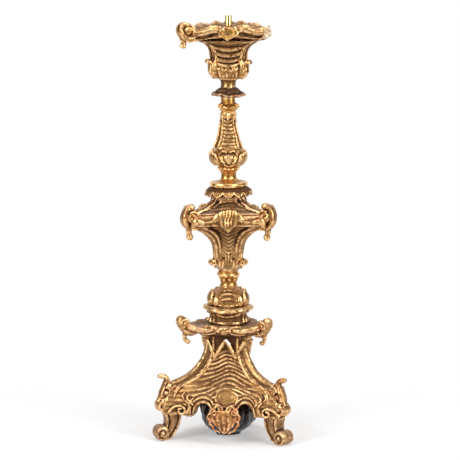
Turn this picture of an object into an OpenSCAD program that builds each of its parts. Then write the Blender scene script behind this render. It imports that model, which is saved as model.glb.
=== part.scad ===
// Three-sided carved and gilded candle stand. The floor is z = 0 and the stem's axis is x = y = 0.
// One corner points to +Y and one face to -Y. Every section takes its place from the heights below it.

/* [Feet] */
// Height of a scroll foot, up to the knee that it carries
foot_h = 42; // [36:1:50]
// Half of the foot's width, across the toe
foot_half_w = 13; // [9:0.5:16]
// Half of the foot's thickness at its neck
foot_half_t = 9.5; // [7:0.5:11]
// How far the toe's middle lies outside the middle of the foot's neck
toe_reach = 20; // [14:1:28]

/* [Base] */
// Turn of the base and the platform about the axis, against the knop
base_turn = -10.5; // [-12:0.5:12]
// Height of the apron at its ends, from the feet to the pedestal block
apron_h = 43; // [35:1:53]
// Thickness of an apron board
apron_t = 8; // [5:0.5:11]
// How far the apron's foot flares out past its top
apron_flare = 10; // [4:1:14]
// Height of the two arches that are cut in an apron
arch_h = 20; // [10:1:24]
// Half of an arch's width
arch_half_w = 14; // [9:0.5:16]
// Distance from the middle of an apron to the middle of each arch
arch_offset = 33; // [28:1:36]
// How far the apron's carving sits to the right of the middle of its face
apron_shift = 5; // [0:1:6]
// Height of the pedestal's flared part
flare_h = 61; // [49:1:73]
// Height of the pedestal's straight neck
neck_h = 17.5; // [13:0.5:27]
// Distance from the axis to a corner seat of the pedestal's neck
neck_corner_r = 30; // [27:1:38]
// Distance from the axis to a corner seat at the pedestal's foot
knee_seat_r = 92; // [84:1:98]
// Half of a corner console's width at the neck
console_half_w = 9; // [7:0.5:11]
// Thickness of a corner console, at its beads
console_t = 8.5; // [6:0.5:12]
// Thickness of the console's knee over the foot
knee_t = 18; // [14:0.5:22]
// Number of ripples on each face of the pedestal
base_ribs = 7; // [4:1:9]
// Depth of a ripple on the pedestal
base_rib_d = 1.8; // [0.8:0.1:3]
// Half of the thickness of the corner scroll's lower curl
knee_scroll_t = 7; // [5:0.5:9]
// Length of the shell that hangs from an apron
shell_len = 37; // [28:1:42]
// Length of the pointed lambrequins under the platform
lambrequin_len = 30; // [20:1:36]

/* [Platform and socle] */
// Thickness of the three-cornered platform
platform_t = 14.5; // [10:0.5:19]
// Distance from the axis to a corner seat of the platform
platform_corner_r = 68; // [62:1:80]
// Half of the width of a corner seat of the platform
platform_half_w = 8.5; // [6:0.5:10]
// Half of the thickness of a platform scroll
platform_scroll_t = 6.5; // [4:0.5:8]
// Height of the raised lobe in the middle of each side of the platform
platform_lobe_h = 8; // [2:0.5:10]
// Height of the socle
socle_h = 18; // [13:1:25]
// Radius of the socle
socle_r = 29; // [24:1:34]
// Height of the lower wavy collar
low_collar_h = 9; // [6:0.5:13]
// Radius of the lower wavy collar
low_collar_r = 39; // [34:1:46]

/* [Lower stem] */
// Height of the leaf bulb
bulb_h = 30; // [24:1:38]
// Radius of the leaf bulb at its foot
bulb_r = 30.5; // [27:0.5:35]
// Radius of the turned necks of the lower stem
low_neck_r = 13.5; // [12:0.5:17]
// Height of the turned ring and its two necks
ring_h = 22; // [18:1:28]
// Radius of the turned ring
ring_r = 16.5; // [15:0.5:24]

/* [Knop] */
// Height of the knop's body under its rim
knop_h = 61; // [50:1:75]
// Distance from the axis to a corner seat at the knop's waist
knop_waist_r = 22; // [19:0.5:25]
// Height of the knop's rim band
rim_h = 31; // [24:1:38]
// Distance from the axis to a corner seat of the rim band
rim_corner_r = 66; // [58:1:76]
// Half of the width of a corner seat of the rim band
rim_half_w = 8; // [6:0.5:10]
// Fullness of the hollow under the rim: less gives a straighter waist and a wider ledge
knop_hollow = 0.45; // [0.35:0.05:1]
// Number of ripples on each face of the knop
knop_ribs = 8; // [4:1:10]
// Depth of a ripple on the knop
knop_rib_d = 1.4; // [0.6:0.1:2.4]
// Half of the thickness of a knop ear
ear_t = 6.5; // [4:0.5:8]
// Half of the width of a knop ear
ear_half_w = 8.5; // [5:0.5:11]
// Half of the thickness of a small volute at the knop's waist
volute_t = 3; // [2:0.1:4]
// Height of the knop's concave roof
roof_h = 27; // [20:1:36]
// Radius of the neck over the roof
roof_neck_r = 22.6; // [21:0.2:30]
// Height of a cartouche shell over its hinge, on the rim band
cartouche_r = 20; // [14:1:22]
// Half of the width of a cartouche shell
cartouche_half_w = 18; // [11:0.5:18]
// Length of the tongue under a cartouche shell
cartouche_tongue = 18; // [12:1:22]

/* [Collars and disc] */
// Height of the scalloped collar
scallop_h = 12; // [8:0.5:15]
// Radius of the scalloped collar
scallop_r = 37.5; // [32:0.5:44]
// Number of scallops
scallops = 12; // [8:1:16]
// Height of the turned disc
disc_h = 13; // [10:0.5:16]
// Radius of the turned disc
disc_r = 29; // [24:0.5:33]

/* [Upper stem] */
// Radius of the upper stem's turned necks
neck_r = 11.6; // [10.5:0.1:14]
// Height of the turned neck under the leaf cup
stem_neck_h = 19; // [14:1:26]
// Height of the leaf cup
leaf_cup_h = 28; // [22:1:36]
// Radius of the leaf cup at its tips
leaf_cup_r = 29; // [25:0.5:33]
// Height of the baluster
baluster_h = 55; // [44:1:70]
// Distance from the axis to a corner of the baluster's foot
baluster_r = 23; // [19:0.5:25]
// Number of ripples on each face of the baluster
baluster_ribs = 8; // [4:1:10]
// Height of the astragal and its neck
astragal_h = 23; // [18:1:30]
// Radius of the astragal
astragal_r = 16.2; // [14:0.2:20]
// Height of the small wavy collar
small_collar_h = 14; // [10:0.5:18]
// Radius of the small wavy collar
small_collar_r = 26.5; // [22:0.5:32]

/* [Cup and tray] */
// Height of the cup with its neck
cup_h = 74; // [62:1:90]
// Radius of the cup's bowl
bowl_r = 29.5; // [26:0.5:32]
// Distance from the axis to a corner of the cup under the tray
cup_corner_r = 48; // [44:1:56]
// Number of ripples on each face of the cup
cup_ribs = 5; // [3:1:7]
// Half of the thickness of a small scroll on the cup
cup_scroll_t = 3.4; // [2.4:0.1:5]
// Thickness of the tray
tray_t = 18; // [14:0.5:23]
// Distance from the axis to a corner seat of the tray
tray_corner_r = 66; // [62:1:74]
// Half of the width of a corner seat of the tray
tray_half_w = 8; // [6:0.5:10]
// Height of the tray's rolled rim over its flat top
tray_lip = 2.5; // [0.5:0.5:3]
// How far the rim rises at the two front corners
rim_rise = 5; // [1:0.5:7]
// Half of the thickness of a tray ear
tray_ear_t = 6; // [4:0.5:8]
// Length of the tongues that hang from the tray's rim
tongue_len = 24; // [18:1:28]

/* [Tube and joints] */
// Outside radius of the brass tube
tube_r = 5; // [4:0.5:6]
// Radius of the tube's bore
tube_bore_r = 4; // [3:0.1:4.4]
// Length of the tube over the tray
tube_out = 18; // [12:1:40]
// Length of the tube's tail in the tray and the cup
tube_tail = 46; // [34:1:56]
// Radius of the dowels in the stem
dowel_r = 6; // [4:0.5:7]
// Radius of the dowel that joins the base, the platform and the socle
base_dowel_r = 12; // [9:0.5:15]
// Depth that a dowel reaches into the last piece at each end
dowel_in = 16; // [12:1:20]
// Clearance round a dowel or a tube tail
fit_gap = 0.15; // [0.1:0.05:0.3]
// Clearance between a carved ornament and its seat
seat_gap = 0.2; // [0.1:0.05:0.3]

/* [Ballast bag] */
// Greatest radius of the soft bag under the base
bag_r = 44; // [36:1:50]
// Height of the bag's lowest point over the floor
bag_floor_gap = 2; // [1:0.5:8]
// Radius of the bag's gathered neck
bag_neck_r = 10; // [7:0.5:14]
// Depth of the hole that holds the bag's neck
bag_neck_in = 12; // [8:1:18]
// Clearance round the bag's neck
bag_gap = 0.3; // [0.2:0.05:0.5]

/* [Hidden] */
gold = "#c79a56";
dark_gold = "#a5743f";
worn_gold = "#8c6240";

// Directions of the corners and of the faces between them
third_turn = 120;
half_turn = third_turn / 2;
rear = 90;
front_left = rear + third_turn;
front_right = rear - third_turn;
face_front = front_left + half_turn;
face_right = rear - half_turn;
face_left = rear + half_turn;
corners = [rear, front_left, front_right];
fine = 72;

// Heights of the joints, from the floor up
z_core = foot_h + apron_h;
z_flare = z_core + flare_h;
z_platform = z_flare + neck_h;
z_socle = z_platform + platform_t;
z_low_collar = z_socle + socle_h;
z_bulb = z_low_collar + low_collar_h;
z_ring = z_bulb + bulb_h;
z_knop = z_ring + ring_h;
z_rim = z_knop + knop_h;
z_roof = z_rim + rim_h;
z_scallop = z_roof + roof_h;
z_disc = z_scallop + scallop_h;
z_stem_neck = z_disc + disc_h;
z_leaf_cup = z_stem_neck + stem_neck_h;
z_baluster = z_leaf_cup + leaf_cup_h;
z_astragal = z_baluster + baluster_h;
z_small_collar = z_astragal + astragal_h;
z_cup = z_small_collar + small_collar_h;
z_tray = z_cup + cup_h;
z_top = z_tray + tray_t;

// Dowels as [lower end, upper end, radius]
base_dowel = [z_platform - dowel_in, z_low_collar + low_collar_h / 2, base_dowel_r];
bulb_dowel = [z_ring - dowel_in, z_knop + dowel_in, dowel_r];
roof_dowel = [z_roof - dowel_in, z_leaf_cup + dowel_in / 2, dowel_r];
baluster_dowel = [z_baluster - dowel_in / 2, z_baluster + dowel_in, dowel_r];
cup_dowel = [z_astragal - dowel_in, z_cup + dowel_in, dowel_r];
collar_dowel = [z_low_collar + low_collar_h / 2 + 1, z_bulb + bulb_h / 2 - 4, dowel_r];

// The point at distance f from the axis in direction a, moved s sideways and z up
function place(a, f, s, z) = [f * cos(a) - s * sin(a), f * sin(a) + s * cos(a), z];

// Points of an arc, or of a spiral where the radius changes from r0 to r1
function arc(cx, cz, r0, r1, a0, a1, n) =
    [for (i = [0:n]) [cx + (r0 + (r1 - r0) * i / n) * cos(a0 + (a1 - a0) * i / n),
        cz + (r0 + (r1 - r0) * i / n) * sin(a0 + (a1 - a0) * i / n)]];

function middle(ring) = [for (k = [0:2]) [for (p = ring) p[k]] * [for (p = ring) 1] / len(ring)];

// Closed solid through rings of equally many points, from its first ring to its last
module loft(rings) {
    n = len(rings[0]);
    last = (len(rings) - 1) * n;
    ends = len(rings) * n;
    walls = [for (j = [0:n:last - n], i = [0:n - 1]) let (k = (i + 1) % n)
        each [[j + i, j + n + i, j + n + k], [j + i, j + n + k, j + k]]];
    caps = [for (i = [0:n - 1]) let (k = (i + 1) % n)
        each [[i, k, ends], [last + k, last + i, ends + 1]]];
    polyhedron(points = concat([for (ring = rings) each ring],
        [middle(rings[0]), middle(rings[len(rings) - 1])]), faces = concat(walls, caps));
}

// Three lobes along a face, from its one end at u = -1 to the other at u = 1
function serpentine(u) = cos(540 * u) * (1 - u * u);

// Distance from the axis to a face between corner seats at distance cd and of half width w
function face_distance(cd, w) = cd / 2 + w * cos(half_turn / 2);

// Ring with three flat corner seats, at distance cd and of half width w, and a face between each
// two. A face stands out by b, is crowned by c, waves by v and rises by dz in its middle. The three
// seats rise by the numbers in up.
function tri_ring(cd, w, z, b = 0, c = 0, v = 0, dz = 0, n = 5, turn = 0, up = [0, 0, 0]) =
    let (fd = face_distance(cd, w), s = cd * cos(half_turn / 2) - w / 2)
    [for (k = [0:2]) let (a = corners[k] + turn, from = z + up[k], to = z + up[(k + 1) % 3])
        each concat([place(a, cd, -w, from), place(a, cd, w, from)],
            [for (i = [1:n]) let (u = 2 * i / (n + 1) - 1)
                place(a + half_turn, fd + b + c * (1 - u * u) + v * serpentine(u), s * u,
                    from + (to - from) * (1 + u) / 2 + dz * (1 - u * u))])];

// Ring of a round section with radius r, written as a three-sided one
function round_ring(r, z, n = 5) = tri_ring(r * cos(30), r / 2, z, c = r * (1 - cos(30)), n = n);

// Ring with lobes: the edge goes in and out by d and up and down by dz
function lobed_ring(r, z, lobes, d = 0, dz = 0, n = 36, turn = 0) =
    [for (i = [0:n - 1]) let (q = 360 * i / n, wave = cos(lobes * (q - turn)))
        [(r + d * wave) * cos(q), (r + d * wave) * sin(q), z + dz * wave]];

// Ripple profile: a crest follows a valley every third ring
function ripple(i) = [0, 1, 0.45][i % 3];

// Share of a scroll's half thickness from its path to its flat side, for a section with eight sides
flat_side = cos(22.5);

// Body swept along a path in the upright plane through direction a. Its section is an ellipse, with
// its half thickness and half width looked up along the path. Nothing goes under the floor.
module scroll(a, path, thick, wide, sides = 8, start = [0, 0]) {
    m = len(path) - 1;
    loft([for (i = [0:m]) let (
            d = i == 0 && norm(start) > 0 ? start : path[min(i + 1, m)] - path[max(i - 1, 0)],
            t = d / norm(d), h = lookup(i / m, thick), w = lookup(i / m, wide))
        [for (j = [0:sides - 1]) let (q = 360 * (j + 0.5) / sides)
            place(a, path[i][0] + h * cos(q) * t[1], w * sin(q),
                max(0, path[i][1] - h * cos(q) * t[0]))]]);
}

// Fluted shell with a flat back at distance f from the axis. Its flutes spread downwards from the
// hinge at height z, over an angle to each side, and end at radius r.
module shell(a, f, z, r, spread, flutes, depth, hinge = 0.16, shift = 0) {
    n = 2 * flutes;
    loft([for (i = [0:n]) let (q = -spread + 2 * spread * i / n, ridge = i % 2, k = r * (1 + 0.07 * ridge))
        [for (p = [[hinge, 0], [hinge, 0.75 + 0.1 * ridge], [0.45, 0.6 + 0.4 * ridge],
                [0.8, 0.5 + 0.35 * ridge], [1, 0.2 + 0.25 * ridge], [1, 0]])
            place(a, f + depth * p[1], shift + k * p[0] * sin(q), z - k * p[0] * cos(q))]]);
}

// Hole for a dowel
module dowel_hole(d) {
    translate([0, 0, d[0] - fit_gap])
        cylinder(r = d[2] + fit_gap, h = d[1] - d[0] + 2 * fit_gap, $fn = fine);
}

// Turned body from its outline in radius and height
module turned(outline) {
    rotate_extrude($fn = fine) polygon(outline);
}

// The pedestal's corner seats follow a quarter of an ellipse, from the neck down to the knee
arc_end = 80;
arc_r = knee_seat_r + (knee_seat_r - neck_corner_r) * cos(arc_end) / (1 - cos(arc_end));
arc_a = arc_r - neck_corner_r;
arc_b = flare_h / sin(arc_end);
function seat_r(q) = arc_r - arc_a * cos(q);
function seat_z(q) = z_flare - arc_b * sin(q);
knee_half_w = console_half_w + 1.5;
waist_half_w = console_half_w - 2;
function seat_w(q) = lookup(q, [[0, console_half_w], [20, waist_half_w], [arc_end, knee_half_w]]);

// The knee's outer face, and the middle of the foot that stands under it
knee_face_r = knee_seat_r + 12;
foot_neck_r = knee_face_r - knee_t / 2 - 1;

module foot(a) {
    curl = toe_reach;
    r = foot_neck_r;
    path = [[r, foot_h], [r - 1, foot_h * 0.72], [r + 1, foot_h * 0.45],
        [r + curl * 0.3, foot_h * 0.135], [r + curl * 0.8, foot_h * 0.15],
        [r + curl * 1.05, foot_h * 0.25], [r + curl * 1.15, foot_h * 0.44], [r + curl, foot_h * 0.57]];
    t = foot_half_t;
    w = foot_half_w;
    color(gold) scroll(a, path,
        [[0, t], [0.3, t * 0.92], [0.6, t * 0.95], [0.85, t * 0.8], [1, t * 0.4]],
        [[0, w], [0.3, w * 0.8], [0.65, w], [0.85, w], [1, w * 0.6]], sides = 10, start = [0, -1]);
}

// Pedestal block: rippled faces between three curved corner seats
module base_core() {
    steps = 3 * base_ribs;
    rise = 5;
    flare = [for (i = [steps:-1:0]) let (q = arc_end * i / steps,
            m = min(1, max(0, (i - 5) / 3)) * min(1, (steps - i) / 3))
        tri_ring(seat_r(q), seat_w(q), seat_z(q), b = base_rib_d * ripple(i) * m,
            c = -1.5 * m, dz = rise * m, n = 7, turn = base_turn)];
    color(dark_gold) difference() {
        loft(concat(flare,
            [tri_ring(neck_corner_r, console_half_w, z_platform, n = 7, turn = base_turn)]));
        dowel_hole(base_dowel);
        translate([0, 0, z_core - bag_gap])
            cylinder(r = bag_neck_r + bag_gap, h = bag_neck_in + 2 * bag_gap, $fn = fine);
    }
}

// Corner console: a band with two beads, seated on the pedestal's corner, that ends in a knee
module console(a) {
    band = [[-1, 0.7], [-0.8, 1], [-0.5, 0.7], [0, 0.85], [0.5, 0.7], [0.8, 1], [1, 0.7]];
    knee = [[knee_face_r - knee_t, foot_h, knee_t, 0],
        [knee_face_r - knee_t, foot_h + apron_h * 0.4, knee_t, 0],
        [knee_seat_r - 2, foot_h + apron_h * 0.72, knee_t * 0.72, 5],
        [knee_seat_r - 0.5, z_core - 4.5, knee_t * 0.58, 40]];
    low = [for (k = knee) concat([place(a, k[0], -knee_half_w, k[1])],
        [for (p = band) place(a, k[0] + k[2] * p[1] * cos(k[3]), knee_half_w * p[0],
            k[1] + k[2] * p[1] * sin(k[3]))], [place(a, k[0], knee_half_w, k[1])])];
    steps = 3 * base_ribs;
    curve = [for (i = [steps:-1:0]) let (q = arc_end * i / steps, w = seat_w(q),
            t = console_t * lookup(q, [[35, 1], [arc_end, 0.6]]))
        concat([place(a, seat_r(q), -w, seat_z(q))],
            [for (p = band) place(a, seat_r(q) + t * p[1] * cos(q), w * p[0],
                seat_z(q) + t * p[1] * sin(q))], [place(a, seat_r(q), w, seat_z(q))])];
    capital = [[10, 0], [6.5, 5.5], [2.5, 7.5], [seat_gap, 6.5]];
    top = [for (c = capital) let (z = z_platform - c[0], t = console_t + c[1])
        concat([place(a, neck_corner_r, -console_half_w, z)],
            [for (p = band) place(a, neck_corner_r + t * p[1], console_half_w * p[0], z)],
            [place(a, neck_corner_r, console_half_w, z)])];
    color(gold) loft(concat(low, curve, top));
}

// Scroll on the knee, from its lower curl up to its horn
module knee_scroll(a) {
    t = knee_scroll_t;
    r = knee_face_r + seat_gap + t * flat_side;
    z = foot_h;
    h = apron_h;
    path = [[r + 1, z + h * 0.03], [r + 0.6, z + h * 0.14], [r, z + h * 0.34], [r - t * 0.3, z + h * 0.5],
        [r - t * 0.6, z + h * 0.68], [r - t * 0.7, z + h * 0.9], [r - t * 1.1, z + h * 1.1],
        [r - t * 1.1, z + h * 1.28], [r - t * 0.8, z + h * 1.42]];
    color(gold) scroll(a, path,
        [[0, t * 0.7], [0.12, t * 1.07], [0.25, t], [0.37, t * 0.7], [0.5, t * 0.4], [0.63, t * 0.3],
            [0.75, t * 0.5], [0.9, t * 0.65], [1, t * 0.35]],
        [[0, t * 0.7], [0.12, t * 1.4], [0.25, t * 1.4], [0.5, t], [0.75, t * 0.7], [0.9, t * 0.85],
            [1, t * 0.5]]);
}

// Distance from the axis to an apron's front at height z: it leans out towards its foot
function apron_f(z) = face_distance(knee_seat_r, knee_half_w)
    + apron_flare * (1 - pow((z - foot_h) / apron_h, 2));

// Apron board between two consoles, with two arches and a raised boss in its middle
module apron(a) {
    v = knee_half_w + seat_gap;
    rim = arch_offset + arch_half_w;
    arch = [for (p = arc(0, 0, 1, 1, 180, 0, 6)) [arch_offset + arch_half_w * p[0], arch_h * p[1]]];
    half = concat([[0, arch_h * 0.45], [arch_offset - arch_half_w - 7, arch_h * 0.5]], arch);
    line = concat([for (i = [len(half) - 1:-1:1]) [-half[i][0], half[i][1]]], half);
    boss_z = foot_h + apron_h * 0.62;
    boss_r = 15;
    boss_d = 4;
    function side(f, s, mitre) = mitre == 0 ? s : mitre * (f * tan(half_turn) - 2 * v);
    function section(s, zb, mitre) = let (zs = [for (k = [0:3]) foot_h + zb + (apron_h - zb) * k / 3])
        concat([for (z = zs) let (
                bump = boss_d * max(0, 1 - (pow(s - apron_shift, 2) + pow(z - boss_z, 2)) / pow(boss_r, 2)),
                f = apron_f(z) + bump) place(a, f, side(f, s, mitre), z)],
            [for (k = [3:-1:0]) let (f = apron_f(zs[k]) - apron_t)
                place(a, f, side(f, s, mitre), zs[k])]);
    color(gold) loft(concat([section(rim, 0, 1)],
        [for (i = [len(line) - 1:-1:0]) section(line[i][0] + apron_shift, line[i][1], 0)],
        [section(-rim, 0, -1)]));
}

module apron_shell(a) {
    top = foot_h + arch_h * 0.9;
    color(worn_gold) shell(a, apron_f(foot_h) + seat_gap, top, shell_len, 38, 4, 9,
        shift = apron_shift);
}

// Pointed lambrequins: one zigzag band on each face of the pedestal's neck
module lambrequins() {
    f = face_distance(neck_corner_r, console_half_w) + seat_gap;
    half = neck_corner_r * cos(half_turn / 2) - console_half_w / 2 - 4;
    top = neck_h * 0.8;
    low = top - lambrequin_len;
    board = 2.5;
    edge = [[-half, top], [-half, top - 8], [-half * 0.62, low], [0, top - 10], [half * 0.62, low],
        [half, top - 8], [half, top]];
    color(gold) for (a = [face_front, face_right, face_left])
        rotate([0, 0, a + base_turn]) translate([f, 0, z_flare]) rotate([90, 0, 90])
            linear_extrude(board) polygon(edge);
}

// Platform with a wavy edge between its three corner seats
module platform() {
    cd = platform_corner_r;
    w = platform_half_w;
    t = platform_t;
    lobe = platform_lobe_h;
    z = z_platform;
    edge = [[0, 0, -6, 2, 0], [0, 0.2, -2, 3, 0], [0, 0.5, 0, 3.5, 0.3], [0, 0.82, -1, 3.5, 0.8],
        [0, 1, -5, 3, 1], [-14, 1, -3, 0, 0]];
    color(gold) difference() {
        loft([for (e = edge)
            tri_ring(cd + e[0], w, z + t * e[1], b = e[2], v = e[3], dz = lobe * e[4], n = 9,
                turn = base_turn)]);
        dowel_hole(base_dowel);
    }
}

// Upright S-shaped scroll at a platform corner, with a curl that hangs below the slab
module platform_scroll(a) {
    t = platform_scroll_t;
    r = platform_corner_r + seat_gap + t * flat_side;
    z = z_platform + platform_t / 2;
    path = [[r - t * 0.9, z - 21.5], [r - t, z - 18.5], [r - t * 0.6, z - 13.5], [r, z - 7], [r, z + 5],
        [r + 0.5, z + 12], [r + 3.5, z + 17.5], [r + 8.5, z + 16.5], [r + 10, z + 10]];
    color(gold) scroll(a, path,
        [[0, t * 0.5], [0.15, t * 0.8], [0.25, t * 0.7], [0.375, t], [0.5, t], [0.85, t * 0.7],
            [1, t * 0.4]],
        [[0, t * 0.6], [0.15, t * 0.9], [0.4, t * 1.2], [0.65, t * 1.4], [0.85, t * 1.2], [1, t * 0.7]]);
}

module socle() {
    r = socle_r;
    h = socle_h;
    outline = [[0, 0.42, 0, 3], [0, 0.42, 0.25, 2], [-4, 0.42, 0.4, 2], [-4, 0.42, 0.75, 2],
        [0, 0.45, 1, 2]];
    color(dark_gold) difference() {
        loft([for (e = outline) tri_ring(r + e[0], r * e[1], z_socle + h * e[2], c = e[3])]);
        dowel_hole(base_dowel);
    }
}

module lower_collar() {
    r = low_collar_r;
    h = low_collar_h;
    z = z_low_collar;
    lobes = 6;
    color(gold) difference() {
        loft([lobed_ring(r * 0.72, z, lobes), lobed_ring(r * 0.9, z + h * 0.3, lobes, 1.2, 1),
            lobed_ring(r - 1.2, z + h * 0.65, lobes, 1.2, 1),
            lobed_ring(r * 0.95, z + h * 0.86, lobes, 1, 0.6), lobed_ring(r * 0.78, z_bulb, lobes)]);
        dowel_hole(base_dowel);
        dowel_hole(collar_dowel);
    }
}

// Bulb with three upright corner leaves
module leaf_bulb() {
    r = bulb_r;
    h = bulb_h;
    n = low_neck_r;
    outline = [[r * 0.9, 0, 1], [r * 1.04, 0.1, 3], [r * 1.02, 0.3, 4], [r * 0.9, 0.55, 4.5],
        [r * 0.73, 0.75, 4.5], [n + 3, 0.93, 3], [n + 1, 1, 0.5]];
    color(gold) difference() {
        loft([for (e = outline) lobed_ring(e[0], z_bulb + h * e[1], 3, e[2], turn = rear)]);
        dowel_hole(collar_dowel);
        dowel_hole(bulb_dowel);
    }
}

// Turned ring between two short necks
module ring_neck() {
    h = ring_h;
    r = low_neck_r;
    bead = h * 0.2;
    bead_z = h * 0.77;
    color(gold) difference() {
        turned(concat([[0, 0], [r + 0.5, 0], [r - 1.5, h * 0.18], [r - 2.2, h * 0.36], [r - 1, h * 0.52]],
            arc(ring_r - bead, bead_z, bead, bead, -90, 90, 8),
            [[r + 0.5, h * 0.985], [r + 1, h], [0, h]]));
        translate([0, 0, -z_ring]) dowel_hole(bulb_dowel);
    }
}

// The knop's corner ribs follow a hollow curve from its waist up to its rim
function knop_r(q) = rim_corner_r - (rim_corner_r - knop_waist_r) * pow(cos(q), knop_hollow);
knop_foot_h = knop_h * 0.3;
function knop_z(q) = z_knop + knop_foot_h + (knop_h - knop_foot_h) * sin(q);

// How far the upper part of the rim band stands out from its lower part
rim_band_d = 3;
// How far the lower part of the rim stays back from its upper part's seats
rim_step_d = 5;

// Knop body: rippled faces between three curved ribs, with an upright rim band on top
module knop_body() {
    steps = 3 * knop_ribs;
    w = rim_half_w;
    r = knop_waist_r;
    cd = rim_corner_r;
    zw = knop_foot_h;
    foot = [round_ring(low_neck_r + 1, z_knop), round_ring(r - 3, z_knop + zw * 0.25),
        tri_ring(r - 1, w * 0.85, z_knop + zw * 0.5, c = 4),
        tri_ring(r, w * 0.75, z_knop + zw * 0.8, c = 3)];
    curve = [for (i = [0:steps]) let (q = 84 * i / steps, m = min(1, i / 3) * min(1, (steps - i) / 4))
        tri_ring(knop_r(q), lookup(i / steps, [[0, w * 0.7], [1, w]]), knop_z(q),
            b = knop_rib_d * (ripple(i) - 1) * m, c = 2 * (1 - i / steps), dz = -3 * m)];
    band = [[0, 1 / rim_h, -rim_step_d], [0, 0.42, -rim_step_d], [0, 0.5, rim_band_d],
        [0, 0.9, rim_band_d], [-1, 1, 0]];
    rim = [for (e = band) tri_ring(cd + e[0], w, z_rim + rim_h * e[1], b = e[2])];
    color(dark_gold) difference() {
        loft(concat(foot, curve, rim));
        dowel_hole(bulb_dowel);
        dowel_hole(roof_dowel);
    }
}

// Small volute at the foot of a knop rib
module knop_volute(a) {
    t = volute_t;
    r = knop_waist_r + seat_gap + t * flat_side;
    z = z_knop + knop_foot_h;
    path = [[r, z + t], [r, z], [r, z - t], [r + t * 1.1, z - t * 2.2], [r + t * 2.4, z - t * 1.8],
        [r + t * 2.9, z - t * 0.6], [r + t * 2.4, z + t * 0.3]];
    color(gold) scroll(a, path, [[0, t], [0.34, t], [0.7, t * 0.9], [1, t * 0.6]],
        [[0, t], [0.4, t * 1.8], [1, t * 1.3]]);
}

// C-shaped ear at a rim corner: a curl over the roof, a long bow and a drop that ends in a ball
module knop_ear(a) {
    t = ear_t;
    w = ear_half_w;
    r = rim_corner_r + seat_gap + t * flat_side;
    z = z_rim;
    h = rim_h;
    path = [[r - 4.5, z - 7], [r - 4.5, z - 5], [r - 2.5, z - 1.5], [r, z + 4], [r, z + h * 0.4],
        [r + t * 0.6, z + h * 0.7], [r + t, z + h], [r + t * 0.7, z + h + 8],
        [r - t * 0.2, z + h + 12.5], [r - t * 1.5, z + h + 12], [r - t * 2.2, z + h + 8]];
    color(gold) scroll(a, path,
        [[0, t * 0.4], [0.1, t * 0.75], [0.2, t * 0.6], [0.3, t], [0.4, t], [0.6, t * 0.85],
            [0.8, t * 0.75], [1, t * 0.45]],
        [[0, w * 0.3], [0.1, w * 0.6], [0.2, w * 0.45], [0.3, w * 0.9], [0.6, w], [0.85, w * 0.8],
            [1, w * 0.5]]);
}

module cartouche(a) {
    f = face_distance(rim_corner_r, rim_half_w) + rim_band_d + seat_gap;
    z = z_roof - 8;
    depth = 7;
    tongue = 0.4;
    stations = 12;
    loft_rings = [for (i = [0:stations]) let (u = 1 - 2 * i / stations, v = abs(u), ridge = i % 2,
            top = z + cartouche_r * (1 - 0.45 * v * v) - 1.2 * ridge,
            low = z + (v > tongue ? 4 + 3 * v : 5.2 - (cartouche_tongue + 5.2) * (1 - v / tongue)),
            d = depth * (1 - 0.35 * v * v) - 1.8 * ridge)
        [for (p = [[0, 0], [0.55, 0], [1, 0.3], [0.9, 0.6], [0.75, 0.85], [0.35, 1], [0, 1]])
            place(a, f + d * p[0], cartouche_half_w * u, low + (top - low) * p[1])]];
    color(gold) loft(loft_rings);
}

// Concave roof that turns from the three-cornered rim to a round neck
module knop_roof() {
    h = roof_h;
    cd = rim_corner_r - 6;
    w = rim_half_w;
    n = roof_neck_r;
    step = [[0, 0, 0, -1], [-3, 0, 0.14, -2], [-13, 1, 0.22, -3]];
    color(dark_gold) difference() {
        loft(concat([for (e = step) tri_ring(cd + e[0], w + e[1], z_roof + h * e[2], b = e[3])],
            [tri_ring(n + 9, n * 0.46, z_roof + h * 0.4), round_ring(n + 1.5, z_roof + h * 0.6),
            round_ring(n, z_roof + h * 0.68), round_ring(n, z_scallop)]));
        dowel_hole(roof_dowel);
    }
}

module scalloped_collar() {
    r = scallop_r;
    h = scallop_h;
    z = z_scallop;
    n = 4 * scallops;
    color(worn_gold) difference() {
        loft([lobed_ring(roof_neck_r, z, scallops, n = n),
            lobed_ring(r * 0.85, z + h * 0.2, scallops, 0.8, -0.5, n = n),
            lobed_ring(r - 1.2, z + h * 0.42, scallops, 1.2, -0.9, n = n),
            lobed_ring(r * 0.97, z + h * 0.65, scallops, 0.8, n = n),
            lobed_ring(disc_r * 0.98, z_disc, scallops, n = n)]);
        dowel_hole(roof_dowel);
    }
}

// Turned disc: a rounded edge, then a hollow that rises to the neck
module turned_disc() {
    h = disc_h;
    bead = h * 0.24;
    color(gold) difference() {
        turned(concat([[0, 0], [disc_r * 0.9, 0]], arc(disc_r - bead, h * 0.38, bead, bead, -75, 90, 7),
            [[disc_r * 0.75, h * 0.64], [disc_r * 0.58, h * 0.72], [neck_r + 2.5, h * 0.9], [neck_r + 1, h],
            [0, h]]));
        translate([0, 0, -z_disc]) dowel_hole(roof_dowel);
    }
}

module stem_neck() {
    h = stem_neck_h;
    bead = h * 0.15;
    r = neck_r;
    color(gold) difference() {
        turned(concat([[0, 0], [r + 1, 0], [r - 0.4, h * 0.15], [r - 0.4, h * 0.4], [r + 1.5, h * 0.62]],
            arc(r + 2.6, h * 0.82, bead, bead, -90, 90, 6), [[r + 2.2, h], [0, h]]));
        translate([0, 0, -z_stem_neck]) dowel_hole(roof_dowel);
    }
}

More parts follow.
